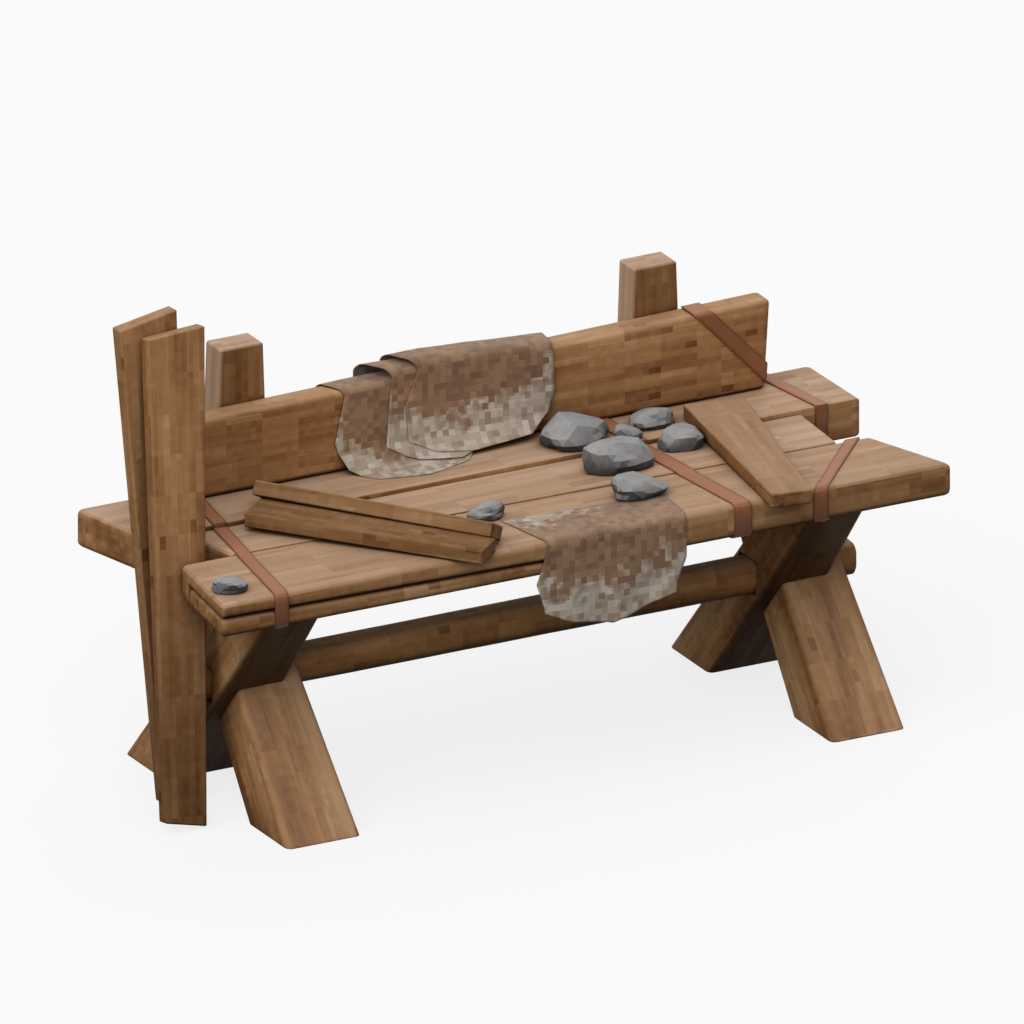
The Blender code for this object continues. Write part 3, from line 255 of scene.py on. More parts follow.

# Each wood piece: run of its grain, brightness (on the stretcher partly painted light), how far its open
# faces take the painted sheen and light, and the heights between which it turns from darker to its own
# tone, which on the stretcher and the front plank is painted shade
WOODS = {
    "left_front_leg": (LEG_RUN, 0.98, 0.35, None),
    "right_front_leg": (LEG_RUN, 0.96, 0.35, None),
    "left_rear_leg": (REAR_LEG_RUN, 0.96, 0.35, None),
    "right_rear_leg": (REAR_LEG_RUN, 0.96, 0.35, None),
    "stretcher": (ALONG, 1.38, 0.30, (0.296, 0.356)),
    "left_bearer": (ACROSS, 0.80, 0.30, None),
    "right_bearer": (ACROSS, 0.80, 0.30, None),
    "left_stretcher_peg": (UP, 0.85, 0.30, None),
    "right_stretcher_peg": (UP, 0.85, 0.30, None),
    "front_plank": (ALONG, 0.86, 0.66, (0.53, 0.65)),
    "middle_plank": (ALONG, 1.08, 0.86, None),
    "rear_plank": (ALONG, 1.02, 0.82, None),
    "packing_board": (ALONG, 0.86, 0.30, None),
    "backboard": (ALONG, 1.08, 0.28, None),
    "left_post": (UP, 0.82, 1.20, None),
    "right_post": (UP, 0.65, 1.20, None),
    "rear_leaning_board": (REAR_LEANING_RUN, 1.07, 0.40, (0.20, 0.95)),
    "front_leaning_board": (FRONT_LEANING_RUN, 1.10, 0.40, (0.20, 0.95)),
    "right_loose_board": (RIGHT_LOOSE_RUN, 0.78, 0.42, None),
    "lower_loose_board": (LEFT_LOOSE_RUN, 0.60, 0.00, None),
    "upper_loose_board": (LEFT_LOOSE_RUN, 0.66, 0.20, None),
}
# Where the painted sheen and light comes from, for the pieces lit from the side as well
PAINTED_LIGHT_FROM = {
    "left_post": Vector((-0.74, 0.0, 0.84)),
    "right_post": Vector((-0.74, 0.0, 0.84)),
}
# How far the edges are rounded over, on pieces that are worn rounder than the others
SOFTNESS = {"stretcher": 0.034, "front_plank": 0.012, "packing_board": 0.012}
PEG_TONE = 0.92
PEG_SHEEN = 0.30
# Darker towards the bottom: painted shade on the stretcher's lower side and the front plank's lower edge
DARKER_BELOW_TONE = (0.440, 0.410, 0.390, 1.0)

# Stretcher: hewn rounder than its solid, within it
RAIL_ROUND = 0.030
RAIL_CORNER_STEPS = 8
RAIL_STATIONS = 60
RAIL_END_ROUND = 0.006
RAIL_HEWN = 0.0007
RAIL_HEWN_SCALE = Vector((7.0, 26.0, 26.0))
SHARP_EDGE = math.radians(40)

# Hides: the same lines as the part's own, in its coordinates
FIT = 0.0003
HIDE_THICK = 0.0014
HIDE_FLAP = 0.060
HIDE_ROWS_BACK = 12
HIDE_ROWS_BEND = 16
HIDE_ROWS_FRONT = 42
HIDE_COLUMNS = 48
HIDE_BEND_STEPS = 6
HIDE_SHIFT = 3.17
HIDE_RIPPLE = 0.0016
HIDE_RIPPLE_SCALE = 14.0
HIDE_RIPPLE_SLICE = 7.0
BACK_HIDE_FIRST_GAP = 0.003
BACK_HIDE_LAYER_GAPS = {"left": 0.0, "middle": 0.0034, "right": 0.0051}
BACK_HIDE_FLARE_RISE = 0.050
BACK_HIDE_BEND_REACH = 0.020
BACK_HIDE_BEND_RISE = 0.015
BACK_HIDE_TOE_REACH = 0.055
BACK_HIDE_RUN_OUT = 0.200
BACKBOARD_FOOT = 0.7186
BACKBOARD_TOP = 0.9656
BACKBOARD_RIGHT = 0.890
BACKBOARD_SLOPE = 0.033 / 1.843
BACKBOARD_FRONT = 0.286
BACKBOARD_REAR = 0.359
BACKBOARD_ROUND = 0.013
REAR_TOP = 0.7183
FRONT_TOP = 0.7033
TOP_FRONT = -0.372
PLANK_ROUND = 0.016
FRONT_HIDE_STAND_OFF = 0.001
FRONT_HIDE_FOLD = 0.010
FRONT_HIDE_FOLDS = 2.5
FRONT_HIDE_REAR_LEFT = 0.171
FRONT_HIDE_REAR_RIGHT = 0.132
# Each hide's edges: distance past the bend, its left and right edges along X
HIDE_EDGES = {
    "left": (
        (-0.110, -0.405, 0.035),
        (0.000, -0.353, 0.040),
        (0.130, -0.381, 0.045),
        (0.200, -0.353, 0.030),
    ),
    "middle": (
        (-0.110, -0.282, 0.154),
        (0.000, -0.214, 0.165),
        (0.050, -0.222, 0.170),
        (0.170, -0.231, 0.154),
    ),
    "right": (
        (-0.110, -0.202, 0.266),
        (0.000, -0.140, 0.256),
        (0.100, -0.180, 0.261),
        (0.170, -0.169, 0.243),
    ),
    "front": (
        (-0.209, -0.142, 0.329),
        (0.000, -0.103, 0.305),
        (0.097, -0.137, 0.303),
        (0.167, -0.113, 0.271),
    ),
}
# How far each hide's front end hangs past the bend, at shares of the way across it
HIDE_DROPS = {
    "left": ((0.0, 0.208), (0.15, 0.278), (0.5, 0.311), (0.85, 0.273), (1.0, 0.198)),
    "middle": ((0.0, 0.193), (0.2, 0.241), (0.5, 0.261), (1.0, 0.163)),
    "right": ((0.0, 0.196), (0.2, 0.241), (0.42, 0.253), (0.85, 0.222), (1.0, 0.164)),
    "front": ((0.0, 0.181), (0.2, 0.215), (0.52, 0.240), (1.0, 0.188)),
}
# How far each back hide's crest stands off the backboard's top edge along X
BACK_HIDE_RISES = {
    "left": ((-0.405, 0.003), (0.045, 0.004)),
    "middle": ((-0.282, 0.038), (0.170, 0.0115)),
    "right": ((-0.202, 0.046), (-0.059, 0.043), (0.058, 0.033), (0.147, 0.024), (0.266, 0.0135)),
}
# Each hide's marks: seed, then how far it is pale from its front end and from its rear end, each at its
# left and right edges
HIDE_MARKS = {
    "left": (1, 0.115, 0.120, -0.100, -0.100),
    "middle": (2, 0.110, 0.120, -0.100, -0.100),
    "right": (3, 0.085, 0.165, -0.100, -0.100),
    "front": (5, 0.090, 0.130, 0.070, -0.050),
}

# Stones: seed of each one's shape
STONE_SEEDS = {
    "stone_01": 3,
    "stone_02": 5,
    "stone_03": 8,
    "stone_04": 12,
    "stone_05": 17,
    "stone_06": 21,
    "stone_07": 26,
    "stone_08": 31,
}
STONE_BASE = -0.34
STONE_DETAIL = 3
STONE_POINTEDNESS = 1.80
STONE_LEAN = 0.34
STONE_JITTER = 0.045
STONE_FACETS = 12
STONE_FACET_DEPTH = (0.86, 0.95)
SHARP_FACET = math.radians(14)
# Depth of each wave over a stone's face, its waves per unit way and its share of the seed
STONE_WAVES = (
    (0.10, Vector((3.1, 0, 0)), 1),
    (0.08, Vector((0, 4.3, 0)), 2),
    (0.07, Vector((2.0, 0, 5.2)), 3),
)


def mix(start, end, share):
    return start + (end - start) * share


# Node helpers
def plug(tree, socket, value):
    if isinstance(value, bpy.types.NodeSocket):
        tree.links.new(value, socket)
    else:
        socket.default_value = value


def add_node(tree, kind, inputs, **settings):
    made = tree.nodes.new(kind)
    for key, value in settings.items():
        setattr(made, key, value)
    for key, value in inputs.items():
        plug(tree, made.inputs[key], value)
    return made


def calculate(tree, operation, first, second=0.0, third=0.0):
    made = add_node(tree, "ShaderNodeMath", {0: first, 1: second, 2: third}, operation=operation)
    return made.outputs[0]


def added(tree, value, layer, share):
    """A value with a share of a layer added to it."""
    return calculate(tree, "MULTIPLY_ADD", layer, share, value)


def vector_calculate(tree, operation, first, second=(0, 0, 0)):
    made = add_node(tree, "ShaderNodeVectorMath", {0: first, 1: second}, operation=operation)
    return made.outputs[0]


def between(tree, value, low, high, to_low=0.0, to_high=1.0):
    inputs = {"Value": value, "From Min": low, "From Max": high, "To Min": to_low, "To Max": to_high}
    return add_node(tree, "ShaderNodeMapRange", inputs).outputs[0]


def blend(tree, factor, first, second, way="MIX"):
    made = tree.nodes.new("ShaderNodeMix")
    made.data_type = "RGBA"
    made.blend_type = way
    plug(tree, made.inputs[0], factor)
    plug(tree, made.inputs[6], first)
    plug(tree, made.inputs[7], second)
    return made.outputs[2]


def noise_value(tree, vector, scale, detail=2.0, roughness=0.5):
    inputs = {"Vector": vector, "Scale": scale, "Detail": detail, "Roughness": roughness}
    return add_node(tree, "ShaderNodeTexNoise", inputs).outputs["Fac"]


def stretched_noise(tree, vector, factors, detail):
    """Noise with its own number of waves per metre along each axis."""
    return noise_value(tree, vector_calculate(tree, "MULTIPLY", vector, factors), 1.0, detail)


def texel(tree, vector, steps):
    """A random value for each block of the given size."""
    snapped = vector_calculate(tree, "SNAP", vector, steps)
    made = add_node(tree, "ShaderNodeTexWhiteNoise", {"Vector": snapped}, noise_dimensions="3D")
    return made.outputs["Value"]


def ramp(tree, value, stops):
    made = tree.nodes.new("ShaderNodeValToRGB")
    marks = made.color_ramp.elements
    while len(marks) < len(stops):
        marks.new(0.5)
    for mark, (place, colour) in zip(marks, stops):
        mark.position = place
        mark.color = (*colour, 1.0)
    plug(tree, made.inputs["Fac"], value)
    return made.outputs["Color"]


def bump(tree, height, strength, distance):
    inputs = {"Height": height, "Strength": strength, "Distance": distance}
    return add_node(tree, "ShaderNodeBump", inputs).outputs["Normal"]


def object_place(tree):
    return tree.nodes.new("ShaderNodeTexCoord").outputs["Object"]


def uv_place(tree, layer):
    return add_node(tree, "ShaderNodeUVMap", {}, uv_map=layer).outputs[0]


def separated(tree, vector):
    return add_node(tree, "ShaderNodeSeparateXYZ", {0: vector}).outputs


def softened(tree, width):
    """The surface's way with its edges rounded over."""
    return add_node(tree, "ShaderNodeBevel", {"Radius": width}, samples=EDGE_SAMPLES).outputs["Normal"]


def dot(tree, first, second):
    made = add_node(tree, "ShaderNodeVectorMath", {0: first, 1: second}, operation="DOT_PRODUCT")
    return made.outputs["Value"]


def facing(tree, way, low, high, normal=None):
    """From 0 to 1 as the surface turns toward a way."""
    normal = normal or tree.nodes.new("ShaderNodeNewGeometry").outputs["Normal"]
    return between(tree, dot(tree, normal, way), low, high)


def darkened(tree, factor, colour, shade):
    """A colour multiplied by a shade, as far as the factor says."""
    return blend(tree, factor, colour, blend(tree, 1.0, colour, shade, "MULTIPLY"))


def with_corner_shade(tree, colour, shade, reach, limits, depth=1.0):
    """A colour darkened in corners that are closed in, as painted shade."""
    corners = add_node(tree, "ShaderNodeAmbientOcclusion", {"Distance": reach}, samples=SHELTER_SAMPLES)
    return darkened(tree, between(tree, corners.outputs["AO"], *limits, depth, 0.0), colour, shade)


def low_share(tree, levels):
    """1 up to the lower of two heights, 0 from the upper one on."""
    return between(tree, separated(tree, object_place(tree))["Z"], *levels, 1.0, 0.0)


def new_material(name):
    made = bpy.data.materials.new(name)
    made.use_nodes = True
    tree = made.node_tree
    return made, tree, tree.nodes["Principled BSDF"]


# Object helpers
def new_mesh(shape, name):
    mesh = bpy.data.meshes.new(name)
    shape.to_mesh(mesh)
    shape.free()
    return mesh


def add_object(name, content):
    made = bpy.data.objects.new(name, content)
    bpy.context.scene.collection.objects.link(made)
    return made


# Wood
def grain_turn(run):
    """The rotation that lays a piece's grain along X."""
    return run.normalized().rotation_difference(ALONG).to_euler()


def grain_coordinates(tree, run, seed):
    """Coordinates with X along the grain, from a place of its own for each piece."""
    spread = random.Random(seed)
    place = [spread.uniform(*GRAIN_PLACES) for axis in range(3)]
    inputs = {"Vector": object_place(tree), "Location": place, "Rotation": grain_turn(run)}
    return add_node(tree, "ShaderNodeMapping", inputs).outputs[0]


def wood_value(tree, board, streaking):
    """From 0, dark, to 1, pale: blocks along the grain, broad stripes and streaks."""
    broad = between(tree, stretched_noise(tree, board, BROAD_SCALE, 1.0), *NOISE_RANGE)
    streaks = between(tree, stretched_noise(tree, board, STREAK_SCALE, 3.0), *NOISE_RANGE)
    value = added(tree, WOOD_LEAST - streaking / 2, texel(tree, board, BLOCK), WOOD_BLOCK_SHARE)
    value = added(tree, value, broad, streaking)
    value = added(tree, value, texel(tree, board, RUN_BLOCK), WOOD_RUN_SHARE)
    value = added(tree, value, texel(tree, board, STRIPE_BLOCK), WOOD_STRIPE_SHARE)
    return added(tree, value, streaks, WOOD_STREAK_SHARE)


def painted_sheen_wood(tree, board):
    """Paler wood in soft streaks along its grain, laid on open faces as painted sheen and light."""
    streaks = stretched_noise(tree, board, SHEEN_SCALE, 2.0)
    value = calculate(tree, "MULTIPLY", streaks, SHEEN_STREAK_SHARE)
    value = added(tree, value, texel(tree, board, SHEEN_BLOCK), SHEEN_RUN_SHARE)
    return ramp(tree, value, WOOD_SHEEN_RAMP)


def end_grain(tree, board, run):
    """How far a face that cuts across the grain is darkened, ring by ring."""
    inputs = {"Vector": board, **RING_WAVES}
    waves = add_node(tree, "ShaderNodeTexWave", inputs, wave_type="RINGS", rings_direction="X")
    normal = tree.nodes.new("ShaderNodeNewGeometry").outputs["True Normal"]
    turned = calculate(tree, "ABSOLUTE", dot(tree, normal, run.normalized()))
    depth = between(tree, waves.outputs["Fac"], 0.0, 1.0, *RING_TONES)
    return calculate(tree, "MULTIPLY", between(tree, turned, *END_FACE), depth)


def edge_wear(tree, place, soft):
    """1 where an edge has been rubbed pale, broken up along its length."""
    flat = tree.nodes.new("ShaderNodeNewGeometry").outputs["Normal"]
    edge = between(tree, dot(tree, soft, flat), *WEAR_EDGE)
    patches = between(tree, noise_value(tree, place, WEAR_PATCH_SCALE, 3.0), *WEAR_PATCHES)
    return calculate(tree, "MULTIPLY", edge, patches)


def wood_colour(tree, board, run, value, fibres, brightness):
    """Wood with its knots and end grain, before its worn edges, painted sheen and painted shade."""
    tones = [tone * brightness for tone in FIBRE_TONES]
    colour = vector_calculate(tree, "SCALE", ramp(tree, value, WOOD_RAMP))
    plug(tree, colour.node.inputs["Scale"], between(tree, fibres, *NOISE_RANGE, *tones))
    knots = between(tree, texel(tree, board, KNOT_BLOCK), *KNOT_RARITY)
    colour = darkened(tree, knots, colour, WOOD_KNOT)
    return darkened(tree, end_grain(tree, board, run), colour, WOOD_END)


def wood_material(name, run, brightness, sheen_amount, darker_below, lit_from, softness, streaking, seed):
    made, tree, shader = new_material(name)
    board = grain_coordinates(tree, run, seed)
    soft = softened(tree, softness)
    value = wood_value(tree, board, streaking)
    fibres = stretched_noise(tree, board, FIBRE_SCALE, 2.0)
    colour = wood_colour(tree, board, run, value, fibres, brightness)
    worn = calculate(tree, "MULTIPLY", edge_wear(tree, board, soft), WEAR_DEPTH)
    colour = blend(tree, worn, colour, WOOD_WORN)
    # Painted sheen and light: faces turned toward the light are made paler
    sheen_share = calculate(tree, "MULTIPLY", facing(tree, lit_from, *OPEN_FACE), sheen_amount)
    colour = blend(tree, sheen_share, colour, painted_sheen_wood(tree, board))
    # Painted shade: faces turned down are darkened
    colour = darkened(tree, facing(tree, UP, *UNDER_FACE, soft), colour, WOOD_UNDER_SHADE)
    # Darker towards the bottom, which on the stretcher and the front plank is painted shade
    if darker_below:
        colour = darkened(tree, low_share(tree, darker_below), colour, DARKER_BELOW_TONE)
    # Painted shade: corners that are closed in are darkened
    colour = with_corner_shade(tree, colour, CORNER_SHADE, WOOD_SHELTER_REACH, WOOD_SHELTER)
    plug(tree, shader.inputs["Base Color"], colour)
    plug(tree, shader.inputs["Roughness"], between(tree, value, *WOOD_TONE_RANGE, *WOOD_ROUGHNESS))
    shader.inputs["Specular IOR Level"].default_value = WOOD_GLOSS
    relief = bump(tree, added(tree, value, fibres, FIBRE_RELIEF), *WOOD_RELIEF)
    plug(tree, relief.node.inputs["Normal"], soft)
    plug(tree, shader.inputs["Normal"], relief)
    return made


def dress_node(name, made):
    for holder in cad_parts[name].material_slots:
        holder.material = made


def dress_wood():
    for seed, (name, settings) in enumerate(WOODS.items()):
        lit_from = PAINTED_LIGHT_FROM.get(name, UP)
        softness = SOFTNESS.get(name, WOOD_SOFTNESS)
        streaking = LEG_STREAKS if name.endswith("_leg") else WOOD_STREAKS
        made = wood_material(name + "_wood", *settings, lit_from, softness, streaking, seed)
        dress_node(name, made)
    pegs = [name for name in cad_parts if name.endswith("_peg") and name not in WOODS]
    for seed, name in enumerate(sorted(pegs), len(WOODS)):
        run = ACROSS if "post" in name else UP
        settings = (run, PEG_TONE, PEG_SHEEN, None, UP, WOOD_SOFTNESS, WOOD_STREAKS)
        dress_node(name, wood_material(name + "_wood", *settings, seed))


# Stretcher
def rail_outline(half_depth, half_height, rounding):
    """The points (y, z) once round a rectangle with rounded corners."""
    points = []
    for corner, (side, level) in enumerate(((1, 1), (-1, 1), (-1, -1), (1, -1))):
        for step in range(RAIL_CORNER_STEPS + 1):
            angle = math.radians(90) * (corner + step / RAIL_CORNER_STEPS)
            y = side * (half_depth - rounding) + rounding * math.cos(angle)
            z = level * (half_height - rounding) + rounding * math.sin(angle)
            points.append((y, z))
    return points


def rail_ring(shape, x, outline, centre, share):
    """A ring of the rail's corners, drawn in to a share and hewn a little uneven."""
    ring = []
    for y, z in outline:
        way = Vector((0.0, y, z))
        place = Vector((x, y, z))
        spot = Vector(part * scale for part, scale in zip(place, RAIL_HEWN_SCALE))
        cut = RAIL_HEWN * (1 + noise.noise(spot))
        corner = centre + Vector((x, 0.0, 0.0)) + way * share
        ring.append(shape.verts.new(corner - way.normalized() * cut))
    return ring


def rail():
    """The stretcher, worn nearly round."""
    low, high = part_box("stretcher")
    half = (high - low) / 2
    centre = (high + low) / 2
    outline = rail_outline(half.y, half.z, RAIL_ROUND)
    full = half.x - RAIL_END_ROUND
    stations = [mix(-full, full, step / RAIL_STATIONS) for step in range(RAIL_STATIONS + 1)]
    end_share = 1 - RAIL_END_ROUND / half.z
    shape = bmesh.new()
    rings = [rail_ring(shape, -half.x, outline, centre, end_share)]
    rings += [rail_ring(shape, x, outline, centre, 1.0) for x in stations]
    rings.append(rail_ring(shape, half.x, outline, centre, end_share))
    for before, after in zip(rings, rings[1:]):
        for place in range(len(outline)):
            shape.faces.new((before[place - 1], after[place - 1], after[place], before[place]))
    shape.faces.new(rings[0])
    shape.faces.new(reversed(rings[-1]))
    bmesh.ops.recalc_face_normals(shape, faces=shape.faces)
    mesh = new_mesh(shape, "stretcher_rail")
    mesh.shade_smooth()
    mesh.set_sharp_from_angle(angle=SHARP_EDGE)
    mesh.materials.append(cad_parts["stretcher"].material_slots[0].material)
    piece = add_object("stretcher_rail", mesh)
    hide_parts("stretcher")
    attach(piece, "bench")


# Leather and iron
def leather_material():
    made, tree, shader = new_material("strap_leather")
    place = object_place(tree)
    patches = noise_value(tree, place, LEATHER_PATCH_SCALE, 4.0, 0.6)
    value = calculate(tree, "MULTIPLY", patches, LEATHER_PATCH_SHARE)
    value = added(tree, value, texel(tree, place, LEATHER_BLOCK), LEATHER_BLOCK_SHARE)
    inputs = {"Vector": place, "Scale": PORE_SCALE}
    pores = add_node(tree, "ShaderNodeTexVoronoi", inputs).outputs["Distance"]
    pitted = between(tree, pores, 0.0, PORE_WIDTH, PORE_DEPTH, 0.0)
    colour = blend(tree, pitted, ramp(tree, value, LEATHER_RAMP), PORE_TONE)
    # Painted sheen: faces turned up are made paler
    sheen_share = calculate(tree, "MULTIPLY", facing(tree, UP, *OPEN_FACE), LEATHER_SHEEN_SHARE)
    colour = blend(tree, sheen_share, colour, LEATHER_SHEEN_TONE)
    # Darker towards the bottom of the straps
    colour = darkened(tree, low_share(tree, LEATHER_DARKER_BELOW), colour, DARKER_BELOW_TONE)
    # Painted shade in closed-in corners of the straps
    colour = with_corner_shade(tree, colour, CORNER_SHADE, LEATHER_SHELTER_REACH, FINE_SHELTER, FINE_SHELTER_DEPTH)
    plug(tree, shader.inputs["Base Color"], colour)
    plug(tree, shader.inputs["Roughness"], between(tree, patches, *NOISE_RANGE, *LEATHER_ROUGHNESS))
    shader.inputs["Specular IOR Level"].default_value = LEATHER_GLOSS
    creases = stretched_noise(tree, place, LEATHER_CREASE_SCALE, 3.0)
    relief = bump(tree, added(tree, creases, pores, PORE_RELIEF), *LEATHER_RELIEF)
    plug(tree, relief.node.inputs["Normal"], softened(tree, LEATHER_SOFTNESS))
    plug(tree, shader.inputs["Normal"], relief)
    return made


def iron_material():
    made, tree, shader = new_material("nail_iron")
    rust = noise_value(tree, object_place(tree), IRON_RUST_SCALE, 4.0, 0.6)
    plug(tree, shader.inputs["Base Color"], ramp(tree, rust, IRON_RAMP))
    plug(tree, shader.inputs["Roughness"], between(tree, rust, *NOISE_RANGE, *IRON_ROUGHNESS))
    plug(tree, shader.inputs["Normal"], bump(tree, rust, *IRON_RELIEF))
    shader.inputs["Metallic"].default_value = IRON_METALLIC
    return made


def dress_straps():
    leather = leather_material()
    iron = iron_material()
    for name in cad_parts:
        if name.endswith("_strap"):
            dress_node(name, leather)
        elif name.endswith("_nail"):
            dress_node(name, iron)


# Stones
def stone_material():
    made, tree, shader = new_material("grey_stone")
    place = object_place(tree)
    clouds = noise_value(tree, place, STONE_CLOUD_SCALE, 4.0, 0.6)
    grit = noise_value(tree, place, STONE_GRIT_SCALE, 3.0, 0.7)
    value = calculate(tree, "MULTIPLY", clouds, STONE_CLOUD_SHARE)
    value = added(tree, value, texel(tree, place, BLOCK), STONE_BLOCK_SHARE)
    value = added(tree, value, grit, STONE_GRIT_SHARE)
    # Painted shade: faces turned down or to the side are darkened
    low = facing(tree, UP, *STONE_LOW_FACE)
    colour = darkened(tree, low, ramp(tree, value, STONE_RAMP), STONE_UNDER_SHADE)
    # Painted shade in closed-in corners of the stones
    colour = with_corner_shade(tree, colour, STONE_CORNER_SHADE, STONE_SHELTER_REACH, STONE_SHELTER)
    plug(tree, shader.inputs["Base Color"], colour)
    plug(tree, shader.inputs["Roughness"], between(tree, grit, *NOISE_RANGE, *STONE_ROUGHNESS))
    height = added(tree, grit, clouds, STONE_CLOUD_RELIEF)
    plug(tree, shader.inputs["Normal"], bump(tree, height, *STONE_RELIEF))
    return made


def chip(shape, spread):
    """Knock flats off a round stone, so that it shows facets with clean edges."""
    for facet in range(STONE_FACETS):
        way = Vector((spread.gauss(0, 1), spread.gauss(0, 1), spread.gauss(0, 1))).normalized()
        reach = max(corner.co.dot(way) for corner in shape.verts) * spread.uniform(*STONE_FACET_DEPTH)
        for corner in shape.verts:
            over = corner.co.dot(way) - reach
            if over > 0:
                corner.co -= way * over


def stone_shape(seed):
    """A stone about a unit across each way from its middle, leaning a little, with flats knocked off."""
    spread = random.Random(seed)
    shape = bmesh.new()
    bmesh.ops.create_icosphere(shape, subdivisions=STONE_DETAIL, radius=1.0)
    lean = Vector((spread.uniform(-STONE_LEAN, STONE_LEAN), spread.uniform(-STONE_LEAN, STONE_LEAN), 0))
    for corner in shape.verts:
        way = corner.co.normalized()
        swell = sum(depth * math.sin(wave.dot(way) + share * seed) for depth, wave, share in STONE_WAVES)
        reach = sum(abs(part) ** STONE_POINTEDNESS for part in way) ** (-1 / STONE_POINTEDNESS)
        corner.co = way * reach * (1 + swell + spread.uniform(-STONE_JITTER, STONE_JITTER))
        corner.co += lean * max(0.0, corner.co.z)
    chip(shape, spread)
    return shape


def fill_box(shape, low, high):
    """Fit a stone to its box, cut flat at the level where it rests."""
    lowest = [min(corner.co[axis] for corner in shape.verts) for axis in range(3)]
    lowest[2] = STONE_BASE
    highest = [max(corner.co[axis] for corner in shape.verts) for axis in range(3)]
    for corner in shape.verts:
        share = [(corner.co[axis] - lowest[axis]) / (highest[axis] - lowest[axis]) for axis in range(3)]
        share[2] = max(0.0, share[2])
        corner.co = [mix(low[axis], high[axis], share[axis]) for axis in range(3)]


def stone(name, made):
    shape = stone_shape(STONE_SEEDS[name])
    fill_box(shape, *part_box(name))
    mesh = new_mesh(shape, name + "_rock")
    mesh.shade_smooth()
    mesh.set_sharp_from_angle(angle=SHARP_FACET)
    mesh.materials.append(made)
    piece = add_object(name + "_rock", mesh)
    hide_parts(name)
    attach(piece, name + "_body")


def dress_stones():
    made = stone_material()
    for name in STONE_SEEDS:
        stone(name, made)


# Hides
def look_up(table, value):
    """The rest of a table's row at a value of its first column, between rows in proportion."""
    for before, after in zip(table, table[1:]):
        if value <= after[0] or after is table[-1]:
            share = min(1.0, max(0.0, (value - before[0]) / (after[0] - before[0])))
            return [mix(start, end, share) for start, end in zip(before[1:], after[1:])]


def corner_arc(centre_y, centre_z, radius, start, end, steps):
    points = []
    for step in range(steps + 1):
        angle = math.radians(mix(start, end, step / steps))
        points.append((centre_y + radius * math.cos(angle), centre_z + radius * math.sin(angle)))
    return points


def path_point(path, distance):
    """The point and outward normal a distance along a (y, z) path, carried straight past its ends."""
    for start, end in zip(path, path[1:]):
        run = Vector((end[0] - start[0], end[1] - start[1]))
        if distance <= run.length or end is path[-1]:
            way = run.normalized()
            return Vector(start) + way * distance, Vector((way.y, -way.x))
        distance -= run.length


def path_length(path):
    return sum(math.dist(start, end) for start, end in zip(path, path[1:]))


def hide_distance(row, start, bend_length, end):
    """The distance past the bend at a row: rows up to the bend, over it and down from it."""
    if row <= HIDE_ROWS_BACK:
        return mix(start, -bend_length, row / HIDE_ROWS_BACK)
    if row <= HIDE_ROWS_BACK + HIDE_ROWS_BEND:
        return mix(-bend_length, 0.0, (row - HIDE_ROWS_BACK) / HIDE_ROWS_BEND)
    return mix(0.0, end, (row - HIDE_ROWS_BACK - HIDE_ROWS_BEND) / HIDE_ROWS_FRONT)


def backboard_path(side, layer):
    """The (y, z) path of a back hide at each x, with its bend's first and last points."""
    lift = layer * HIDE_THICK + BACK_HIDE_LAYER_GAPS[side]
    gap = BACK_HIDE_FIRST_GAP + lift
    radius = BACKBOARD_ROUND + gap
    rear = BACKBOARD_REAR + gap
    front = BACKBOARD_FRONT - gap
    floor = REAR_TOP + 2 * FIT + lift

    def path_for(x):
        edge = BACKBOARD_TOP - BACKBOARD_SLOPE * (BACKBOARD_RIGHT - x)
        crest = edge + look_up(BACK_HIDE_RISES[side], x)[0]
        path = [(rear, BACKBOARD_FOOT)]
        path += corner_arc(rear - radius, crest - radius, radius, 0, 90, HIDE_BEND_STEPS)
        path += corner_arc(front + radius, crest - radius, radius, 90, 180, HIDE_BEND_STEPS)
        last = len(path) - 1
        path.append((front, floor + BACK_HIDE_FLARE_RISE))
        path.append((front - BACK_HIDE_BEND_REACH, floor + BACK_HIDE_BEND_RISE))
        path.append((front - BACK_HIDE_TOE_REACH, floor))
        path.append((front - BACK_HIDE_RUN_OUT, floor))
        return path, 1, last

    return path_for


def front_path():
    """The (y, z) path of the front hide, the same at each x."""
    radius = PLANK_ROUND + FRONT_HIDE_STAND_OFF
    bend_y = TOP_FRONT + PLANK_ROUND
    path = [(bend_y + FRONT_HIDE_REAR_LEFT, FRONT_TOP + FRONT_HIDE_STAND_OFF)]
    path += corner_arc(bend_y, FRONT_TOP - PLANK_ROUND, radius, 90, 180, HIDE_BEND_STEPS)
    last = len(path) - 1
    path.append((TOP_FRONT - FRONT_HIDE_STAND_OFF, 0.0))
    return lambda x: (path, 1, last)


def keep_measure(shape, measure):
    """Keep a hide's flat measure as UVs: metres across and along, and metres from its two ends."""
    flat = shape.loops.layers.uv.new("flat")
    ends = shape.loops.layers.uv.new("ends")
    for face in shape.faces:
        face.smooth = True
        for loop in face.loops:
            x, distance, from_rear, from_front = measure[loop.vert]
            loop[flat].uv = (x, distance)
            loop[ends].uv = (from_rear, from_front)


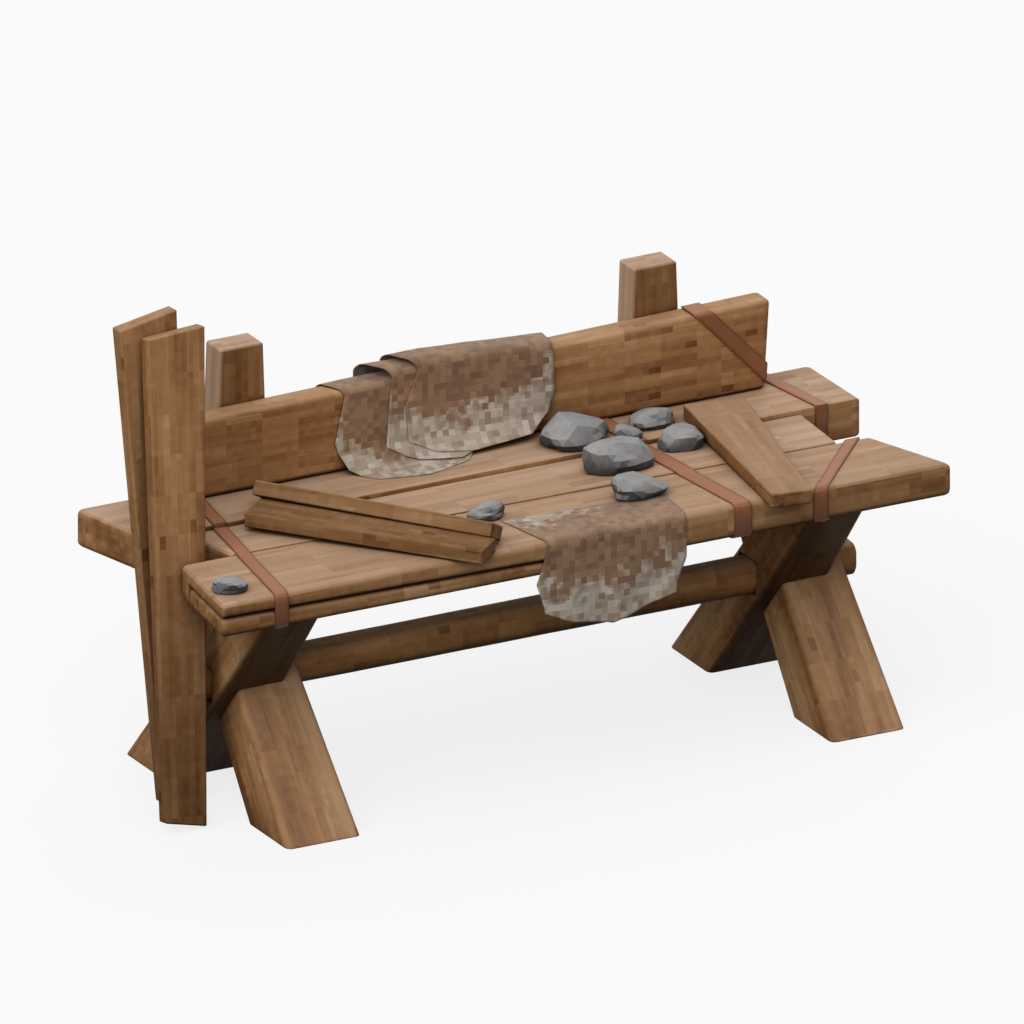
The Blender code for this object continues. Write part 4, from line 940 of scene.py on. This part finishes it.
def hide_shape(side, path_for, start_for, fold_height):
    """A hide laid over a bend, with its flat measure."""
    shape = bmesh.new()
    rows = HIDE_ROWS_BACK + HIDE_ROWS_BEND + HIDE_ROWS_FRONT
    longest = max(drop for share, drop in HIDE_DROPS[side])
    bmesh.ops.create_grid(shape, x_segments=HIDE_COLUMNS, y_segments=rows, size=1.0)
    measure = {}
    for corner in shape.verts:
        across = (corner.co.x + 1) / 2
        row = round((corner.co.y + 1) / 2 * rows)
        path, first, last = path_for(mix(*look_up(HIDE_EDGES[side], 0.0), across))
        bend_at = path_length(path[:last + 1])
        bend_length = path_length(path[first:last + 1])
        start = start_for(across, bend_length)
        end = look_up(HIDE_DROPS[side], across)[0]
        distance = hide_distance(row, start, bend_length, end)
        fold = max(0.0, distance / longest) * fold_height
        fold *= (1 - math.cos(2 * math.pi * FRONT_HIDE_FOLDS * across)) / 2
        x = mix(*look_up(HIDE_EDGES[side], distance), across)
        wave = noise.noise(Vector((x, distance, HIDE_RIPPLE_SLICE)) * HIDE_RIPPLE_SCALE)
        ripple = HIDE_RIPPLE * (wave + 1) / 2
        place, normal = path_point(path, bend_at + distance)
        place = place + normal * (fold + ripple)
        corner.co = Vector((x, place.x, place.y)) + FRAME_SHIFT
        measure[corner] = (x, distance, distance - start, end - distance)
    bmesh.ops.reverse_faces(shape, faces=shape.faces)
    keep_measure(shape, measure)
    return shape


def hide_block(tree, place, seed):
    """Where the block starts that a place on a hide is in."""
    shifted = vector_calculate(tree, "ADD", place, (seed * HIDE_SHIFT, seed * HIDE_SHIFT, 0.0))
    return vector_calculate(tree, "SNAP", shifted, (TEXEL, TEXEL, 1.0))


def hide_blocks(tree, place, seed):
    return texel(tree, hide_block(tree, place, seed), (TEXEL / 2, TEXEL / 2, 1.0))


def pale_ends(tree, spot, ways, blocks, patches, side):
    """1 toward a hide's pale ends, stepped block by block."""
    seed, front_left, front_right, rear_left, rear_right = HIDE_MARKS[side]
    left, right = HIDE_EDGES[side][1][1:]
    jagged = calculate(tree, "MULTIPLY_ADD", patches, PALE_PATCH_JAG, PALE_SHIFT)
    jagged = added(tree, jagged, blocks, PALE_BLOCK_JAG)
    shifted = calculate(tree, "ADD", spot["Y"], seed * HIDE_SHIFT)
    jagged = calculate(tree, "SUBTRACT", jagged, calculate(tree, "FLOORED_MODULO", shifted, TEXEL))
    front_reach = between(tree, spot["X"], left, right, front_left, front_right)
    rear_reach = between(tree, spot["X"], left, right, rear_left, rear_right)
    front_way = calculate(tree, "SUBTRACT", ways["Y"], calculate(tree, "ADD", front_reach, jagged))
    rear_way = calculate(tree, "SUBTRACT", ways["X"], calculate(tree, "ADD", rear_reach, jagged))
    nearest = calculate(tree, "MINIMUM", front_way, rear_way)
    return between(tree, nearest, PALE_FADE, -PALE_FADE)


def hide_colour(tree, side, place, blocks):
    """Blocks of brown and tan, pale at the hanging end and the rear end."""
    seed = HIDE_MARKS[side][0]
    spot = separated(tree, place)
    ways = separated(tree, uv_place(tree, "ends"))
    patches = noise_value(tree, hide_block(tree, place, seed), HIDE_PATCH_SCALE + seed, 2.0)
    value = calculate(tree, "MULTIPLY_ADD", patches, HIDE_PATCH_SHARE, HIDE_LEAST)
    value = added(tree, value, blocks, HIDE_BLOCK_SHARE)
    # Painted shade just past the bend
    crest = between(tree, spot["Y"], *HIDE_CREST, HIDE_CREST_SHADE, 0.0)
    value = calculate(tree, "SUBTRACT", value, crest)
    pale_blocks = hide_blocks(tree, place, seed + HIDE_PALE_SEED)
    pale_value = calculate(tree, "MULTIPLY", patches, HIDE_PALE_PATCH_SHARE)
    pale_value = added(tree, pale_value, pale_blocks, HIDE_PALE_BLOCK_SHARE)
    pale = pale_ends(tree, spot, ways, blocks, patches, side)
    return blend(tree, pale, ramp(tree, value, HIDE_BROWN), ramp(tree, pale_value, HIDE_PALE))


def hide_material(name, side):
    """Short hair over the hide's blocks of colour."""
    made, tree, shader = new_material(name)
    place = uv_place(tree, "flat")
    blocks = hide_blocks(tree, place, HIDE_MARKS[side][0])
    # Painted sheen: faces turned up are made paler
    sheen_share = calculate(tree, "MULTIPLY", facing(tree, UP, *OPEN_FACE), HIDE_SHEEN_SHARE)
    colour = blend(tree, sheen_share, hide_colour(tree, side, place, blocks), HIDE_SHEEN_TONE)
    hair = stretched_noise(tree, place, HAIR_SCALE, 2.0)
    colour = darkened(tree, between(tree, hair, *HAIR_RANGE, 0.0, HAIR_SHADE), colour, HIDE_HAIR_AND_CORNER_SHADE)
    # Painted shade in closed-in corners of the hide
    colour = with_corner_shade(tree, colour, HIDE_HAIR_AND_CORNER_SHADE, HIDE_SHELTER_REACH, FINE_SHELTER, FINE_SHELTER_DEPTH)
    plug(tree, shader.inputs["Base Color"], colour)
    plug(tree, shader.inputs["Roughness"], between(tree, hair, *NOISE_RANGE, *HIDE_ROUGHNESS))
    shader.inputs["Sheen Weight"].default_value = HIDE_SHEEN
    shader.inputs["Sheen Roughness"].default_value = HIDE_SHEEN_ROUGHNESS
    height = added(tree, hair, blocks, HIDE_BLOCK_RELIEF)
    plug(tree, shader.inputs["Normal"], bump(tree, height, *HIDE_RELIEF))
    return made


def flesh_material():
    """The bare underside of a hide."""
    made, tree, shader = new_material("hide_flesh")
    place = uv_place(tree, "flat")
    patches = noise_value(tree, place, FLESH_PATCH_SCALE, 4.0, 0.6)
    value = calculate(tree, "MULTIPLY", patches, FLESH_SHARE)
    value = added(tree, value, hide_blocks(tree, place, FLESH_SEED), FLESH_SHARE)
    plug(tree, shader.inputs["Base Color"], ramp(tree, value, HIDE_FLESH))
    plug(tree, shader.inputs["Roughness"], between(tree, patches, *NOISE_RANGE, *FLESH_ROUGHNESS))
    plug(tree, shader.inputs["Normal"], bump(tree, patches, *FLESH_RELIEF))
    return made


def hide(node, side, path_for, start_for, fold_height, flesh):
    shape = hide_shape(side, path_for, start_for, fold_height)
    area = sum(face.calc_area() for face in shape.faces)
    mesh = new_mesh(shape, node + "_skin")
    mesh.materials.append(hide_material(node + "_hair", side))
    mesh.materials.append(flesh)
    piece = add_object(node + "_skin", mesh)
    thickness = piece.modifiers.new("thickness", "SOLIDIFY")
    thickness.thickness = HIDE_THICK
    thickness.offset = 1.0
    thickness.material_offset = 1
    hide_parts(node)
    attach(piece, "bench")


def dress_hides():
    flesh = flesh_material()
    for layer, side in enumerate(BACK_HIDE_RISES):
        hide(side + "_back_hide", side, backboard_path(side, layer),
             lambda across, bend: -bend - HIDE_FLAP, 0.0, flesh)
    hide("front_hide", "front", front_path(),
         lambda across, bend: -bend - mix(FRONT_HIDE_REAR_LEFT, FRONT_HIDE_REAR_RIGHT, across),
         FRONT_HIDE_FOLD, flesh)


# Setting
def seen_directly(tree):
    """1 for what the camera sees, straight or by a reflection."""
    path = tree.nodes.new("ShaderNodeLightPath").outputs
    seen = calculate(tree, "MAXIMUM", path["Is Camera Ray"], path["Is Glossy Ray"])
    return calculate(tree, "MAXIMUM", seen, path["Is Transmission Ray"])


def floor_material():
    made = bpy.data.materials.new("floor")
    made.use_nodes = True
    tree = made.node_tree
    tree.nodes.clear()
    plain = add_node(tree, "ShaderNodeBsdfDiffuse", {"Color": FLOOR_TONE}).outputs[0]
    shaded = add_node(tree, "ShaderNodeBsdfDiffuse", {"Color": FLOOR_SEEN_TONE}).outputs[0]
    glow = add_node(tree, "ShaderNodeEmission", {"Color": WHITE, "Strength": 1.0}).outputs[0]
    pale = add_node(tree, "ShaderNodeMixShader", {0: FLOOR_GLOW_SHARE, 1: shaded, 2: glow}).outputs[0]
    both = add_node(tree, "ShaderNodeMixShader", {0: seen_directly(tree), 1: plain, 2: pale}).outputs[0]
    add_node(tree, "ShaderNodeOutputMaterial", {"Surface": both})
    return made


def floor():
    shape = bmesh.new()
    bmesh.ops.create_grid(shape, x_segments=1, y_segments=1, size=FLOOR_WIDTH / 2)
    mesh = new_mesh(shape, "floor")
    mesh.materials.append(floor_material())
    add_object("floor", mesh)


def sky():
    world = bpy.data.worlds.new("studio")
    bpy.context.scene.world = world
    world.use_nodes = True
    tree = world.node_tree
    tree.nodes.clear()
    way = tree.nodes.new("ShaderNodeTexCoord").outputs["Generated"]
    level = between(tree, separated(tree, way)["Z"], 0.0, 1.0, SKY_LOW, SKY_HIGH)
    light = add_node(tree, "ShaderNodeBackground", {"Color": WHITE, "Strength": level}).outputs[0]
    white = add_node(tree, "ShaderNodeBackground", {"Color": WHITE, "Strength": 1.0}).outputs[0]
    both = add_node(tree, "ShaderNodeMixShader", {0: seen_directly(tree), 1: light, 2: white}).outputs[0]
    add_node(tree, "ShaderNodeOutputWorld", {"Surface": both})


def lamp(name, source, level, spread):
    """A soft lamp far off; at level 1 it lights a white surface that faces it to white."""
    light = bpy.data.lights.new(name, "SUN")
    light.energy = math.pi * level
    light.angle = spread
    made = add_object(name, light)
    made.location = source.normalized() * VIEW_DISTANCE
    made.rotation_euler = (-source).to_track_quat("-Z", "Y").to_euler()


def camera():
    level = math.cos(VIEW_ELEVATION)
    look = Vector((
        math.sin(VIEW_AZIMUTH) * level,
        math.cos(VIEW_AZIMUTH) * level,
        -math.sin(VIEW_ELEVATION),
    ))
    lens = bpy.data.cameras.new("camera")
    lens.type = "ORTHO"
    lens.ortho_scale = VIEW_WIDTH
    lens.clip_end = VIEW_FAR
    made = add_object("camera", lens)
    made.location = VIEW_TARGET - look * VIEW_DISTANCE
    made.rotation_euler = look.to_track_quat("-Z", "Y").to_euler()
    bpy.context.scene.camera = made


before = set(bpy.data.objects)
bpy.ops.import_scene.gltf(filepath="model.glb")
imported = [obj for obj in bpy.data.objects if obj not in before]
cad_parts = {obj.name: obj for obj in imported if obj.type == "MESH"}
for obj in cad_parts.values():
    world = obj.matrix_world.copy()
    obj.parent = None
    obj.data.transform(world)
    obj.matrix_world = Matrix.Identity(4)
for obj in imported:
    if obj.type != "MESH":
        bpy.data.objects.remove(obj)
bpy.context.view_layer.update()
bpy.context.scene.view_settings.view_transform = "Standard"
camera()
sky()
lamp("key", KEY_FROM, KEY_LEVEL, KEY_SPREAD)
lamp("fill", FILL_FROM, FILL_LEVEL, FILL_SPREAD)
floor()
dress_wood()
rail()
dress_straps()
dress_stones()
dress_hides()
